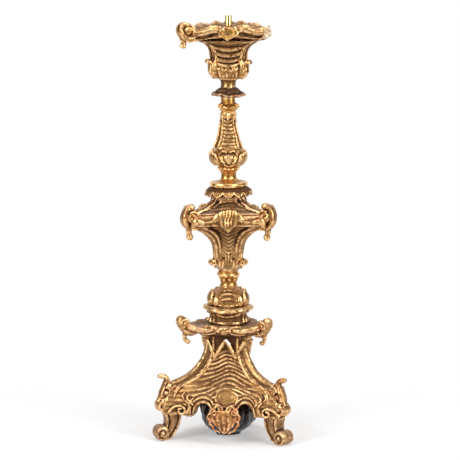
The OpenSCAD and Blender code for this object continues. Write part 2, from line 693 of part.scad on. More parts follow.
// Cup of six leaves whose tips stand out
module leaf_cup() {
    r = leaf_cup_r;
    outline = [[r * 0.55, 0, 0], [r * 0.78, 0.14, 0.6], [r * 0.92, 0.38, 1], [r * 0.96, 0.65, 1.2],
        [r * 0.93, 0.85, 1.6], [r - 1.5, 1, 1.5], [r * 0.82, 1, 0.5]];
    leaves = 6;
    color(gold) difference() {
        loft([for (e = outline) lobed_ring(e[0], z_leaf_cup + leaf_cup_h * e[1], leaves, e[2])]);
        dowel_hole(roof_dowel);
        dowel_hole(baluster_dowel);
    }
}

// Three-sided baluster with rippled faces
module baluster() {
    steps = 3 * baluster_ribs;
    r0 = baluster_r;
    color(gold) difference() {
        loft([for (i = [0:steps]) let (t = i / steps, m = min(1, i / 2) * min(1, (steps - i) / 3),
                r = lookup(t, [[0, r0], [0.1, r0 * 0.95], [0.25, r0 * 0.78], [0.5, r0 * 0.62],
                    [0.7, neck_r + 0.4], [1, neck_r]]))
            tri_ring(r * 0.94, r * 0.3, z_baluster + baluster_h * t, b = 0.9 * (ripple(i) - 1) * m,
                c = r * 0.14, dz = -m, n = 3)]);
        dowel_hole(baluster_dowel);
        dowel_hole(cup_dowel);
    }
}

module astragal() {
    h = astragal_h;
    r = neck_r;
    bead = h * 0.14;
    color(gold) difference() {
        turned(concat([[0, 0], [r, 0], [r + 1.5, h * 0.1]],
            arc(astragal_r - bead, h * 0.35, bead, bead, -90, 90, 7),
            [[r + 1, h * 0.54], [r, h * 0.65], [r, h], [0, h]]));
        translate([0, 0, -z_astragal]) dowel_hole(cup_dowel);
    }
}

module small_collar() {
    r = small_collar_r;
    outline = [[neck_r, 0, 0, 0], [r * 0.75, 0.16, 0.6, -0.6], [r - 1, 0.36, 1, -0.9],
        [r * 0.88, 0.6, 0.8, 0], [r * 0.66, 0.88, 0, 0], [neck_r + 1, 1, 0, 0]];
    lobes = 8;
    color(worn_gold) difference() {
        loft([for (e = outline)
            lobed_ring(e[0], z_small_collar + small_collar_h * e[1], lobes, e[2], e[3], n = 4 * lobes)]);
        dowel_hole(cup_dowel);
    }
}

// Corner of the cup at the share t of its height: a round bowl, then ribs that spread to the tray
function cup_r(t) = lookup(t, [[0.39, bowl_r], [0.5, bowl_r * 0.93], [0.68, bowl_r * 0.86],
    [0.84, bowl_r * 0.96], [0.92, bowl_r * 1.17], [0.96, (bowl_r * 1.17 + cup_corner_r) / 2],
    [1, cup_corner_r]]);

module cup() {
    steps = 3 * cup_ribs;
    first = 0.46;
    profile = [[neck_r / bowl_r, 0], [neck_r / bowl_r, 0.15], [0.5, 0.175], [0.76, 0.225],
        [0.95, 0.3], [1, 0.39]];
    bowl = [for (e = profile) round_ring(bowl_r * e[0], z_cup + cup_h * e[1])];
    ribs = [for (i = [0:steps]) let (t = first + (1 - first) * i / steps,
            m = min(1, i / 2) * min(1, (steps - i) / 3))
        tri_ring(cup_r(t), lookup(t, [[first, bowl_r * 0.36], [1, tray_half_w]]), z_cup + cup_h * t,
            b = 2.2 * (ripple(i) - 1) * m, c = 3 * (1 - i / steps), dz = -2 * m)];
    color(dark_gold) difference() {
        loft(concat(bowl, ribs));
        dowel_hole(cup_dowel);
        tail_hole();
    }
}

// Small outward scroll on the cup's shoulder
module cup_scroll(a) {
    t = cup_scroll_t;
    r = cup_r(0.46) + seat_gap + t * flat_side;
    z = z_cup + cup_h * 0.47;
    path = [[r + t * 0.5, z - 3.4 * t], [r + t * 0.3, z - 1.8 * t], [r, z], [r, z + t],
        [r + t * 0.8, z + 2 * t], [r + t * 2, z + 2.3 * t], [r + t * 2.8, z + 1.3 * t]];
    color(gold) scroll(a, path, [[0, t * 0.6], [0.34, t], [0.5, t], [0.8, t * 0.9], [1, t * 0.6]],
        [[0, t], [0.4, t * 2], [1, t * 1.3]]);
}

// Tray: three corner seats, a rolled wavy rim and a flat top
module tray() {
    cd = tray_corner_r;
    w = tray_half_w;
    t = tray_t;
    lip = (t + tray_lip) / t;
    edge = [[-6, 0.2, -6, 0, 0], [0, 0.32, -5, 1, 0], [0, 0.6, -1, 1.5, 0.4], [0, 0.85, 0, 2, 0.8],
        [0, lip, -2, 2, 1], [-5, lip, -3, 2, 1], [-7, 1, -4, 2, 0]];
    color(worn_gold) difference() {
        loft(concat([tri_ring(cup_corner_r, w, z_tray, b = -2, n = 9)],
            [for (e = edge) tri_ring(cd + e[0], w, z_tray + t * e[1], b = e[2], v = e[3],
                dz = -rim_rise / 2 * e[4], n = 9, up = [0, rim_rise * e[4], rim_rise * e[4]])]));
        tail_hole();
    }
}

// Ear at a tray corner, with a drop that ends in a ball
module tray_ear(a) {
    t = tray_ear_t;
    r = tray_corner_r + seat_gap + t * flat_side;
    z = z_tray;
    h = tray_t;
    path = [[r + 9, z - 8.5], [r + 8.5, z - 5.5], [r + 5.5, z - 1], [r, z + h * 0.35], [r, z + h * 0.6],
        [r, z + h * 0.8], [r + 6, z + h], [r + 13.5, z + h + 3], [r + 12, z + h + 8], [r + 5, z + h + 9.5]];
    color(gold) scroll(a, path,
        [[0, t * 0.4], [0.11, t * 0.75], [0.22, t * 0.5], [0.33, t], [0.56, t], [0.7, t * 0.7],
            [0.9, t * 0.7], [1, t * 0.4]],
        [[0, t * 0.4], [0.11, t * 0.8], [0.22, t * 0.6], [0.4, t * 1.2], [0.7, t * 1.4], [0.88, t * 1.2],
            [1, t * 0.7]]);
}

// Worn ear of which only the seat is left
module worn_tray_ear(a) {
    t = tray_ear_t * 0.55;
    r = tray_corner_r + seat_gap + t * flat_side;
    z = z_tray;
    h = tray_t;
    path = [[r, z + h * 0.35], [r, z + h * 0.5], [r, z + h * 0.7], [r, z + h * 0.85],
        [r - 1, z + h * 0.98]];
    color(gold) scroll(a, path, [[0, t * 0.6], [0.25, t], [0.75, t], [1, t * 0.5]],
        [[0, t], [0.3, t * 2], [0.75, t * 2], [1, t * 1.2]]);
}

module rim_tongue(a) {
    f = face_distance(tray_corner_r, tray_half_w) + 2 + seat_gap;
    color(gold) shell(a, f, z_top + 4, tongue_len, 36, 3, 6, hinge = 0.2);
}

// Hole for the tube's tail, through the tray and into the cup
module tail_hole() {
    translate([0, 0, z_top - tube_tail - fit_gap])
        cylinder(r = tube_bore_r + 0.6 + fit_gap, h = tube_tail + tube_out, $fn = fine);
}

// Brass tube: its full-width part stands on the tray and its thinner tail sits in the wood
module brass_tube() {
    color("#b5893c") difference() {
        union() {
            translate([0, 0, z_top]) cylinder(r = tube_r, h = tube_out, $fn = fine);
            translate([0, 0, z_top - tube_tail]) cylinder(r = tube_bore_r + 0.6, h = tube_tail, $fn = fine);
        }
        translate([0, 0, z_top - tube_tail - 1])
            cylinder(r = tube_bore_r, h = tube_tail + tube_out + 2, $fn = fine);
    }
}

module dowels() {
    color("#b08a5c") for (d = [base_dowel, collar_dowel, bulb_dowel, roof_dowel, baluster_dowel, cup_dowel])
        translate([0, 0, d[0]]) cylinder(r = d[2], h = d[1] - d[0], $fn = fine);
}

// Soft bag: lobed and pointed at the bottom, with its neck gathered into the hole in the pedestal
module ballast_bag() {
    h = z_core - bag_floor_gap;
    shape = [[0, 0.2], [0.04, 0.4], [0.14, 0.72], [0.28, 0.96], [0.42, 1], [0.56, 0.94], [0.7, 0.76],
        [0.82, 0.5]];
    neck = [for (z = [z_core - 4, z_core + bag_neck_in]) lobed_ring(bag_neck_r, z, 5, n = 20)];
    color("#302925") loft(concat([for (p = shape)
        lobed_ring(bag_r * p[1], bag_floor_gap + h * p[0], 5, bag_r * p[1] * 0.05, n = 20)], neck));
}

foot(front_left + base_turn);  // foot_front_left
foot(front_right + base_turn);  // foot_front_right
foot(rear + base_turn);  // foot_rear
base_core();
console(front_left + base_turn);  // console_front_left
console(front_right + base_turn);  // console_front_right
console(rear + base_turn);  // console_rear
knee_scroll(front_left + base_turn);  // knee_scroll_front_left
knee_scroll(front_right + base_turn);  // knee_scroll_front_right
knee_scroll(rear + base_turn);  // knee_scroll_rear
apron(face_front + base_turn);  // apron_front
apron(face_right + base_turn);  // apron_right
apron(face_left + base_turn);  // apron_left
apron_shell(face_front + base_turn);  // apron_shell_front
apron_shell(face_right + base_turn);  // apron_shell_right
apron_shell(face_left + base_turn);  // apron_shell_left
lambrequins();
platform();
platform_scroll(front_left + base_turn);  // platform_scroll_front_left
platform_scroll(front_right + base_turn);  // platform_scroll_front_right
platform_scroll(rear + base_turn);  // platform_scroll_rear
socle();
lower_collar();
leaf_bulb();
translate([0, 0, z_ring]) ring_neck();
knop_body();
knop_volute(front_left);  // knop_volute_front_left
knop_volute(front_right);  // knop_volute_front_right
knop_volute(rear);  // knop_volute_rear
knop_ear(front_left);  // knop_ear_front_left
knop_ear(front_right);  // knop_ear_front_right
knop_ear(rear);  // knop_ear_rear
cartouche(face_front);  // cartouche_front
cartouche(face_right);  // cartouche_right
cartouche(face_left);  // cartouche_left
knop_roof();
scalloped_collar();
translate([0, 0, z_disc]) turned_disc();
translate([0, 0, z_stem_neck]) stem_neck();
leaf_cup();
baluster();
translate([0, 0, z_astragal]) astragal();
small_collar();
cup();
cup_scroll(front_left);  // cup_scroll_front_left
cup_scroll(front_right);  // cup_scroll_front_right
cup_scroll(rear);  // cup_scroll_rear
tray();
tray_ear(front_left);  // tray_ear_front_left
worn_tray_ear(front_right);  // tray_ear_front_right
worn_tray_ear(rear);  // tray_ear_rear
rim_tongue(face_front);  // rim_tongue_front
rim_tongue(face_right);  // rim_tongue_right
rim_tongue(face_left);  // rim_tongue_left
brass_tube();
dowels();
ballast_bag();
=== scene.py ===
import math

import bpy
import numpy as np
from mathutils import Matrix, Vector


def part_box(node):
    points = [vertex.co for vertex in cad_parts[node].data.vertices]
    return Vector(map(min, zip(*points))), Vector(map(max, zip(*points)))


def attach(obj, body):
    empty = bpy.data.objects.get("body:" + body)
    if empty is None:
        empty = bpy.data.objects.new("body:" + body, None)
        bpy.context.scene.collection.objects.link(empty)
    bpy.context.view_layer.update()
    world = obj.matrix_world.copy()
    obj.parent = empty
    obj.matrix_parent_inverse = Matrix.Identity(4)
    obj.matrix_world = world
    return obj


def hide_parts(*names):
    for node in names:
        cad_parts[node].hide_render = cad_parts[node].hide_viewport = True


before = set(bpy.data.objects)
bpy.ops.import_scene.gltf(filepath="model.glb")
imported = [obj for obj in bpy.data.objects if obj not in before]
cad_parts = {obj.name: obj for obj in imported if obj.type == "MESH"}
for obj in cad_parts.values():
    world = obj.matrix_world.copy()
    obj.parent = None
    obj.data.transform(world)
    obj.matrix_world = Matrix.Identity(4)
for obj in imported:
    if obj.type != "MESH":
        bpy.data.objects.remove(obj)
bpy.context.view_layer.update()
scene = bpy.context.scene

# ---------------------------------------------------------------- camera
# The photograph's frame is square. The stand's axis falls on one of its columns.
FRAME_PX, AXIS_PX, FOCAL_PX = 460, 228.4, 2928
CAM_DISTANCE, CAM_HEIGHT, CAM_PITCH = 4.43, 1.05, 9.35
SENSOR = 36.0


def add_object(name, data):
    obj = bpy.data.objects.new(name, data)
    scene.collection.objects.link(obj)
    return obj


camera = add_object("camera", bpy.data.cameras.new("camera"))
camera.data.sensor_width = SENSOR
camera.data.lens = FOCAL_PX * SENSOR / FRAME_PX
camera.data.shift_x = (FRAME_PX / 2 - AXIS_PX) / FRAME_PX
camera.location = (0, -CAM_DISTANCE, CAM_HEIGHT)
camera.rotation_euler = (math.radians(90 - CAM_PITCH), 0, 0)
scene.camera = camera
scene.view_settings.view_transform = "Standard"

# ---------------------------------------------------------------- directions, in degrees, and grain
MM = 0.001
BASE_TURN = -10.5
REAR, LEFT, RIGHT = 90, 210, 330
FRONT_FACE, RIGHT_FACE = 270, 30
CORNERS = {"rear": REAR, "front_left": LEFT, "front_right": RIGHT}
FACES = {"front": FRONT_FACE, "right": RIGHT_FACE, "left": 150}
BASE_CORNERS = {name: a + BASE_TURN for name, a in CORNERS.items()}
BASE_FACES = {name: a + BASE_TURN for name, a in FACES.items()}
SIDES = (-1, 1)
UP = (0, 0, 1)
VOXEL, FINE_VOXEL = 1.0, 0.8
WARP, WARP_LUMP = 3.0, 21
DENT, FINE_DENT = 9, 3.1


# ---------------------------------------------------------------- numbers and curves
def wrap(angle):
    """The angle from the nearest of three directions"""
    return (angle + 60) % 120 - 60


def cosd(angle):
    return np.cos(np.radians(angle))


def sind(angle):
    return np.sin(np.radians(angle))


def ramp(x, low, high):
    t = np.clip((x - low) / (high - low), 0, 1)
    return t * t * (3 - 2 * t)


def hill(x, middle, width):
    return np.exp(-((x - middle) / width) ** 2)


def soft_min(a, b, k):
    h = np.clip(0.5 + 0.5 * (b - a) / k, 0, 1)
    return b * (1 - h) + a * h - k * h * (1 - h)


def waves(phase, sharp):
    """Round crests over a phase in half turns, from 0 to 1"""
    return np.abs(np.sin(math.pi * phase)) ** sharp


def profile(table, t):
    """Rows of numbers looked up at t in a table of [t, ...]"""
    table = np.array(table, float)
    return [np.interp(t, table[:, 0], table[:, k]) for k in range(1, table.shape[1])]


def at(x, z, path, scale=(1, 1)):
    """Flat points, scaled and moved to (x, z)"""
    return np.array(path) * scale + (x, z)


def through(points, count):
    """Smooth curve with count points through the given ones"""
    p = np.array(points, float)
    ends = np.vstack([2 * p[0] - p[1], p, 2 * p[-1] - p[-2]])
    t = np.linspace(0, len(p) - 1, count)
    i = np.minimum(t.astype(int), len(p) - 2)
    f = (t - i)[:, None]
    a, b, c, d = ends[i], ends[i + 1], ends[i + 2], ends[i + 3]
    return 0.5 * (2 * b + (c - a) * f + (2 * a - 5 * b + 4 * c - d) * f**2 + (3 * b - a - 3 * c + d) * f**3)


def spiral(centre, r0, r1, a0, a1, count=24):
    """Points of a flat spiral, with angles in degrees"""
    t = np.linspace(0, 1, count)
    r, a = r0 + (r1 - r0) * t, a0 + (a1 - a0) * t
    return np.column_stack([centre[0] + r * cosd(a), centre[1] + r * sind(a)])


def beside(path, off):
    """The flat path moved to its left by off"""
    along = np.gradient(path, axis=0)
    along /= np.linalg.norm(along, axis=1)[:, None]
    return path + np.column_stack([-along[:, 1], along[:, 0]]) * off[:, None]


def noise(p, size, seed):
    """Smooth random field from 0 to 1 over the points p, with lumps of the given size"""
    lattice = np.random.default_rng(seed).random((32, 32, 32))
    q = p / size
    i = np.floor(q).astype(int)
    f = q - i
    f = f * f * (3 - 2 * f)
    total = np.zeros(len(p))
    for k in range(8):
        step = np.array([k & 1, k >> 1 & 1, k >> 2 & 1])
        weight = np.prod(np.where(step, f, 1 - f), axis=1)
        j = (i + step) % 32
        total += weight * lattice[j[:, 0], j[:, 1], j[:, 2]]
    return total


def around(a, f, s, z):
    """The point at distance f from the axis in direction a, moved s sideways and z up"""
    c, k = cosd(a), sind(a)
    return np.stack(np.broadcast_arrays(f * c - s * k, f * k + s * c, z * np.ones_like(f * 1.0)), axis=-1)


def side_of(a):
    return np.array([-sind(a), cosd(a), 0])


def out_of(a):
    return np.array([cosd(a), sind(a), 0])


# ---------------------------------------------------------------- carving
class Carving:
    """Closed shapes, in millimetres, that grow together into one piece"""

    def __init__(self):
        self.points, self.faces, self.count = [], [], 0

    def tube(self, rings):
        """Closed body through rings, an array of (ring, point, xyz)"""
        rings = np.asarray(rings)
        m, n = rings.shape[:2]
        faces = [(j * n + i, j * n + (i + 1) % n, (j + 1) * n + (i + 1) % n, (j + 1) * n + i)
                 for j in range(m - 1) for i in range(n)]
        faces += [((i + 1) % n, i, m * n) for i in range(n)]
        faces += [((m - 1) * n + i, (m - 1) * n + (i + 1) % n, m * n + 1) for i in range(n)]
        points = np.vstack([rings.reshape(-1, 3), rings[0].mean(0), rings[-1].mean(0)])
        self.points.append(points)
        self.faces.extend([tuple(k + self.count for k in f) for f in faces])
        self.count += len(points)

    def sweep(self, path, thick, wide, side, sides=10):
        """Bar along a path. Its section is an ellipse: wide along the side vector, thick across it."""
        path, side = np.asarray(path, float), np.asarray(side, float)
        t = np.linspace(0, 1, len(path))
        h, w = (np.interp(t, *zip(*size)) if np.ndim(size) else np.full(len(t), float(size))
                for size in (thick, wide))
        along = np.gradient(path, axis=0)
        along /= np.linalg.norm(along, axis=1)[:, None] + 1e-9
        side = side - (along @ side)[:, None] * along
        side = side / (np.linalg.norm(side, axis=1)[:, None] + 1e-9)
        up = np.cross(side, along)
        q = np.linspace(0, 2 * math.pi, sides, endpoint=False)
        self.tube(path[:, None] + (w[:, None] * np.cos(q))[..., None] * side[:, None]
                  + (h[:, None] * np.sin(q))[..., None] * up[:, None])

    def scroll(self, a, path, thick, wide, count=40, sides=12, s=0.0):
        """Bar in the upright plane beside direction a by s, from points of (distance, height)"""
        p = through(path, count) if count else path
        self.sweep(around(a, p[:, 0], s, p[:, 1]), thick, wide, side_of(a), sides)

    def rib(self, a, s, path, thick, wide, count=None, sides=8):
        self.scroll(a, path, thick, wide, count, sides, s)

    def trim(self, a, f, path, thick, wide, count=None, sides=8):
        """Bar over a face at distance f from the axis, from points of (sideways place, height)"""
        p = through(path, count) if count else path
        f = f(p[:, 0]) if callable(f) else f + 0 * p[:, 0]
        self.sweep(around(a, f, p[:, 0], p[:, 1]), thick, wide, out_of(a), sides)

    def ball(self, a, f, s, z, radius, squash=(1, 1, 1)):
        u, v = np.linspace(6, 174, 9), np.arange(0, 360, 30)
        rings = np.stack([np.outer(sind(u), cosd(v)), np.outer(sind(u), sind(v)),
                          np.repeat(-cosd(u)[:, None], len(v), 1)], axis=-1)
        self.tube(around(a, f, float(s), z) + radius * rings * np.asarray(squash))

    def volute(self, a, centre, radius, half_w, start, turns, bead):
        """Rolled end of a scroll, across direction a, with a raised spiral and an eye on both its sides"""
        q, v = np.arange(0, 360, 12), np.linspace(-1, 1, 9)[:, None]
        r = radius * (1 - 0.14 * v**2)
        self.tube(around(a, centre[0] + r * cosd(q), v * half_w + 0 * q, centre[1] + r * sind(q)))
        for side in SIDES:
            curl = spiral(centre, radius - bead, radius * 0.36, start, start + 360 * turns, 40)
            self.rib(a, side * half_w, curl, bead, bead)
            self.ball(a, centre[0], side * (half_w - 0.4), centre[1], radius * 0.3)

    def leaf(self, a, points, width, lift, veins):
        """Pointed leaf on a curve of (distance, height), cupped outwards, with veins"""
        p, t = through(points, 22), np.linspace(0, 1, 22)
        w = width * np.sin(math.pi * np.clip(0.18 + 0.8 * t, 0, 1)) ** 0.8 + 0.3
        self.rib(a, 0.0, p, [(0, lift), (0.7, lift), (1, 0.5)], list(zip(t, w)), sides=12)
        for k in range(-veins + 1, veins):
            s = k / veins * w * 0.85
            self.sweep(around(a, p[:, 0] + lift * 0.8 - 0.18 * np.abs(s), s, p[:, 1]), 0.8, 0.8, side_of(a), 6)

    def turned(self, shape, rows, columns):
        """Body round the axis: shape(t, angle) gives radius and height over a grid"""
        angle = np.linspace(0, 360, columns, endpoint=False)[None, :]
        r, z = shape(np.linspace(0, 1, rows)[:, None], angle)
        self.tube(np.stack([r * cosd(angle), r * sind(angle), z + 0 * angle], axis=-1))

    def board(self, a, s, z, front, back):
        """Plate with relief in direction a: grids of sideways place and height, with its two faces"""
        self.tube(np.concatenate([around(a, front, s, z), around(a, back, s, z)[:, ::-1]], axis=1))


def turning(node, table, rows, columns, carve=lambda t, angle, r, z: (r, z)):
    """A turned member, from a table of (t, radius, share of the node's height), with what is carved in it"""
    low, high = span(node)

    def shape(t, angle):
        r, z = profile(table, t)
        return carve(t, angle, r, low + (high - low) * z)

    member = Carving()
    member.turned(shape, rows, columns)
    return member, low, high - low


# ---------------------------------------------------------------- finish of a carved piece
def neighbours_mean(values, edges, degree):
    total = np.stack([np.bincount(edges[:, 0], column[edges[:, 1]], len(values))
                      + np.bincount(edges[:, 1], column[edges[:, 0]], len(values)) for column in values.T],
                     axis=1)
    return total / degree[:, None]


def read(items, key, width, kind=float):
    values = np.empty(len(items) * width, kind)
    items.foreach_get(key, values)
    return values.reshape(-1, width)


def finish_piece(name, carving, material, *nodes, slot="giltwood", voxel=FINE_VOXEL, rough=0.25, smooth=2,
                 tone_and_shade=lambda p, n: 0 * p[:, 0]):
    """Grows the carving's shapes together, gives it hand-tool unevenness and notes its hollows and edges"""
    points = np.vstack(carving.points)
    # neighbours share this field, so that pieces stay joined while no line of the carving is dead straight
    drift = np.column_stack([noise(points + 500, WARP_LUMP, seed) - 0.5 for seed in (11, 12, 13)])
    points = points + WARP * drift * ramp(points[:, 2], 4, 20)[:, None]
    mesh = bpy.data.meshes.new(name + "_rough")
    mesh.from_pydata(points * MM, [], carving.faces)
    obj = add_object(name, mesh)
    remesh = obj.modifiers.new("grow", "REMESH")
    remesh.mode, remesh.voxel_size = "VOXEL", voxel * MM
    even = obj.modifiers.new("even", "SMOOTH")
    even.factor, even.iterations = 0.5, smooth
    whole = bpy.data.meshes.new_from_object(obj.evaluated_get(bpy.context.evaluated_depsgraph_get()))
    obj.modifiers.clear()
    obj.data = whole
    bpy.data.meshes.remove(mesh)
    whole.name = name
    co, normal = read(whole.vertices, "co", 3) / MM, read(whole.vertices, "normal", 3)
    edges = read(whole.edges, "vertices", 2, int)
    degree = np.maximum(np.bincount(edges.ravel(), minlength=len(co)), 1)
    seed = sum(map(ord, name))
    dents = 0.6 * (noise(co, DENT, seed) - 0.5) + 0.4 * (noise(co, FINE_DENT, seed + 1) - 0.5)
    co = co + normal * (rough * 2 * dents)[:, None]
    near, bends = co.copy(), {}
    for step in range(24):
        near = neighbours_mean(near, edges, degree)
        if step in (3, 23):
            bends[step] = ((near - co) * normal).sum(1)
    hollow = neighbours_mean((bends[3] / 0.6 + bends[23] / 2.2)[:, None], edges, degree)[:, 0]
    whole.vertices.foreach_set("co", (co * MM).ravel())
    for key, value, least in (("hollow", hollow, 0), ("crest", -hollow, 0),
                              ("edge", -bends[3] / 0.45 - 0.22, 0), ("tone_and_shade", tone_and_shade(co, normal), -1)):
        data = whole.attributes.new(key, "FLOAT", "POINT").data
        data.foreach_set("value", np.clip(value, least, 1).astype(np.float32))
    whole.update()
    whole.shade_smooth()
    whole.materials.clear()
    whole.materials.append(material)
    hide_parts(*nodes)
    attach(obj, "root")
    return obj


# ---------------------------------------------------------------- materials
BOLE = (0.42, 0.10, 0.035)
BURNISH_AND_HIGHLIGHT = (0.33, 0.27, 0.17)
CHIP = (0.78, 0.60, 0.46)
DUST = (0.24, 0.165, 0.12)
BLOTCH_SCALE, SOIL_SCALE, GRAIN_SCALE, CHIP_SCALE = 75, 190, 400, 240
METAL, METAL_LOST, SHEEN = 0.82, 0.75, 0.12


def new_node(tree, kind, **settings):
    made = tree.nodes.new(kind)
    for key, value in settings.items():
        setattr(made, key, value)
    return made


def new_material(name, colour, **inputs):
    """Plain material. Sockets are named with _ for a space."""
    material = bpy.data.materials.new(name)
    material.use_nodes = True
    shader = material.node_tree.nodes["Principled BSDF"]
    shader.inputs["Base Color"].default_value = (*colour, 1)
    for key, value in inputs.items():
        shader.inputs[key.replace("_", " ")].default_value = value
    return material, material.node_tree, shader


def scaled(colour, by):
    return tuple(c * by for c in colour)


def gilding(name, leaf, shade, bole=BOLE, worn=0.35, dust=0.35, gloss=0.34):
    """Burnished gold leaf over bole: brown glaze and painted shade in the hollows, painted highlight with the
    burnish on crests, bole on rubbed edges, dust on ledges, and darker tone with painted shade where a piece
    asks for it
    """
    material, tree, shader = new_material(name, leaf, Specular_IOR_Level=SHEEN)
    links = tree.links

    def attribute(key):
        return new_node(tree, "ShaderNodeAttribute", attribute_name=key).outputs["Fac"]

    def math_node(operation, a, b):
        made = new_node(tree, "ShaderNodeMath", operation=operation, use_clamp=True)
        for socket, value in zip(made.inputs, (a, b)):
            if isinstance(value, float):
                socket.default_value = value
            else:
                links.new(value, socket)
        return made.outputs[0]

    def times(a, b):
        return math_node("MULTIPLY", a, b)

    def most(a, b):
        return math_node("MAXIMUM", a, b)

    def noise_node(scale, detail):
        made = new_node(tree, "ShaderNodeTexNoise")
        links.new(place, made.inputs["Vector"])
        made.inputs["Scale"].default_value = scale
        made.inputs["Detail"].default_value = detail
        made.inputs["Roughness"].default_value = 0.6
        return made.outputs["Fac"]

    def band(value, low, high):
        made = new_node(tree, "ShaderNodeMapRange", interpolation_type="SMOOTHSTEP")
        links.new(value, made.inputs["Value"])
        made.inputs["From Min"].default_value = low
        made.inputs["From Max"].default_value = high
        return made.outputs["Result"]

    def mix(factor, a, b):
        made = new_node(tree, "ShaderNodeMix", data_type="RGBA")
        links.new(factor, made.inputs["Factor"])
        for socket, value in ((made.inputs[6], a), (made.inputs[7], b)):
            if isinstance(value, tuple):
                socket.default_value = (*value, 1)
            else:
                links.new(value, socket)
        return made.outputs[2]

    place = new_node(tree, "ShaderNodeTexCoord").outputs["Object"]
    hollow, crest, edge, tone_and_shade = (attribute(key) for key in ("hollow", "crest", "edge", "tone_and_shade"))
    blotch, soil, grain = (noise_node(scale, detail) for scale, detail in
                           ((BLOTCH_SCALE, 3.0), (SOIL_SCALE, 4.0), (GRAIN_SCALE, 4.0)))

    colour = mix(band(blotch, 0.36, 0.64), scaled(leaf, 0.78), scaled(leaf, 1.12))
    colour = mix(times(band(grain, 0.48, 0.7), 0.6), colour, shade)
    colour = mix(times(band(soil, 0.5, 0.66), 0.6), colour, scaled(shade, 0.9))
    # painted highlight: crests are mixed towards a pale cream, together with the brighter burnish there
    burnish_and_highlight = times(band(crest, 0.1, 0.5), math_node("SUBTRACT", band(blotch, 0.2, 0.5),
                                                       band(soil, 0.5, 0.62)))
    colour = mix(burnish_and_highlight, colour, tuple(min(1, c + p) for c, p in zip(scaled(leaf, 1.25), BURNISH_AND_HIGHLIGHT)))
    rubbed = times(times(band(edge, 0.18, 0.7), band(grain, 0.6 - worn * 0.3, 0.7)), worn)
    bare = times(band(edge, 0.12, 0.45), band(blotch, 0.52, 0.42))
    rubbed = most(rubbed, times(bare, worn * 0.8))
    colour = mix(rubbed, colour, bole)
    chips = times(band(edge, 0.3, 0.6), band(noise_node(CHIP_SCALE, 2.0), 0.6, 0.66))
    colour = mix(times(chips, 0.75), colour, CHIP)
    # painted shade: hollows are darkened, partly as brown glaze and dirt, and the deepest hollows darker still
    glaze_and_shade = times(band(hollow, 0.0, 0.34), 0.9)
    colour = mix(glaze_and_shade, colour, scaled(shade, 0.62))
    colour = mix(band(hollow, 0.3, 0.8), colour, scaled(shade, 0.12))
    split = new_node(tree, "ShaderNodeSeparateXYZ")
    links.new(new_node(tree, "ShaderNodeNewGeometry").outputs["Normal"], split.inputs[0])
    dusty = times(times(band(split.outputs["Z"], 0.45, 0.95), band(blotch, 0.25, 0.7)), dust)
    colour = mix(dusty, colour, DUST)
    # painted shade and darker tone, where each piece's mask gives it
    colour = mix(times(tone_and_shade, 1.15), colour, scaled(shade, 0.42))
    links.new(colour, shader.inputs["Base Color"])

    # glaze, painted shade, bole and dust take away metal and add roughness
    covered_or_shaded = most(most(glaze_and_shade, rubbed), most(dusty, tone_and_shade))
    links.new(math_node("SUBTRACT", METAL, times(covered_or_shaded, METAL_LOST)), shader.inputs["Metallic"])
    rough = math_node("ADD", times(covered_or_shaded, 0.35), math_node("ADD", times(grain, 0.14), gloss - 0.07))
    links.new(rough, shader.inputs["Roughness"])
    bump = new_node(tree, "ShaderNodeBump")
    bump.inputs["Strength"].default_value = 0.5
    bump.inputs["Distance"].default_value = MM
    links.new(math_node("ADD", times(soil, 0.6), times(grain, 0.4)), bump.inputs["Height"])
    links.new(bump.outputs["Normal"], shader.inputs["Normal"])
    return material


gilt = gilding("gilt", (0.47, 0.245, 0.08), (0.20, 0.08, 0.026), worn=0.5, gloss=0.28)
gilt_base = gilding("gilt_base", (0.45, 0.24, 0.085), (0.20, 0.082, 0.03), worn=0.6, dust=0.3)
gilt_knee = gilding("gilt_knee", (0.50, 0.26, 0.10), (0.17, 0.07, 0.028), worn=0.7, dust=0.2)
gilt_foot = gilding("gilt_foot", (0.40, 0.215, 0.095), (0.16, 0.075, 0.035), worn=0.6, dust=0.5, gloss=0.42)
gilt_platform = gilding("gilt_platform", (0.46, 0.235, 0.09), (0.17, 0.075, 0.03), worn=0.7, dust=0.8,
                        gloss=0.36)
gilt_worn = gilding("gilt_worn", (0.49, 0.225, 0.08), (0.20, 0.07, 0.028), (0.50, 0.145, 0.042), 1.0, 0.1, 0.4)
gilt_dark = gilding("gilt_dark", (0.26, 0.12, 0.05), (0.09, 0.04, 0.02), worn=1.0, dust=0.3, gloss=0.42)
# painted reflection: smooth turned gilding, brighter and more orange than the rest
gilt_smooth_painted_reflection = gilding("gilt_smooth_painted_reflection", (0.60, 0.29, 0.07), (0.26, 0.10, 0.025), worn=0.15, dust=0.15, gloss=0.24)
gesso = gilding("gesso", (0.80, 0.54, 0.38), (0.62, 0.36, 0.2), (0.9, 0.72, 0.6), 0.8, 0.1, 0.6)
chalk = gilding("chalk", (0.98, 0.88, 0.74), (0.86, 0.70, 0.54), (0.92, 0.78, 0.64), 0.3, 0.0, 0.6)
brass = new_material("brass", (0.76, 0.50, 0.20), Metallic=1.0, Roughness=0.2)[0]
cloth = new_material("bag_cloth", (0.018, 0.014, 0.013), Roughness=0.2)[0]


# ---------------------------------------------------------------- levels and driving sizes, in millimetres
def span(node):
    """Lowest and highest level of a CAD node"""
    low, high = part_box(node)
    return low.z / MM, high.z / MM


def face_distance(corner, half_w):
    """Distance from the axis to a face between flat corners"""
    return corner / 2 + half_w * COS30


def face_half(corner, half_w):
    """Half of the length of that face"""
    return corner * COS30 - half_w / 2


COS30 = math.cos(math.radians(30))
TAN60 = math.tan(math.radians(60))
core_low, platform_low = span("base_core")
foot_high = span("foot_rear")[1]
tube_low, tube_high = span("brass_tube")
tray_flat = tube_high - 18

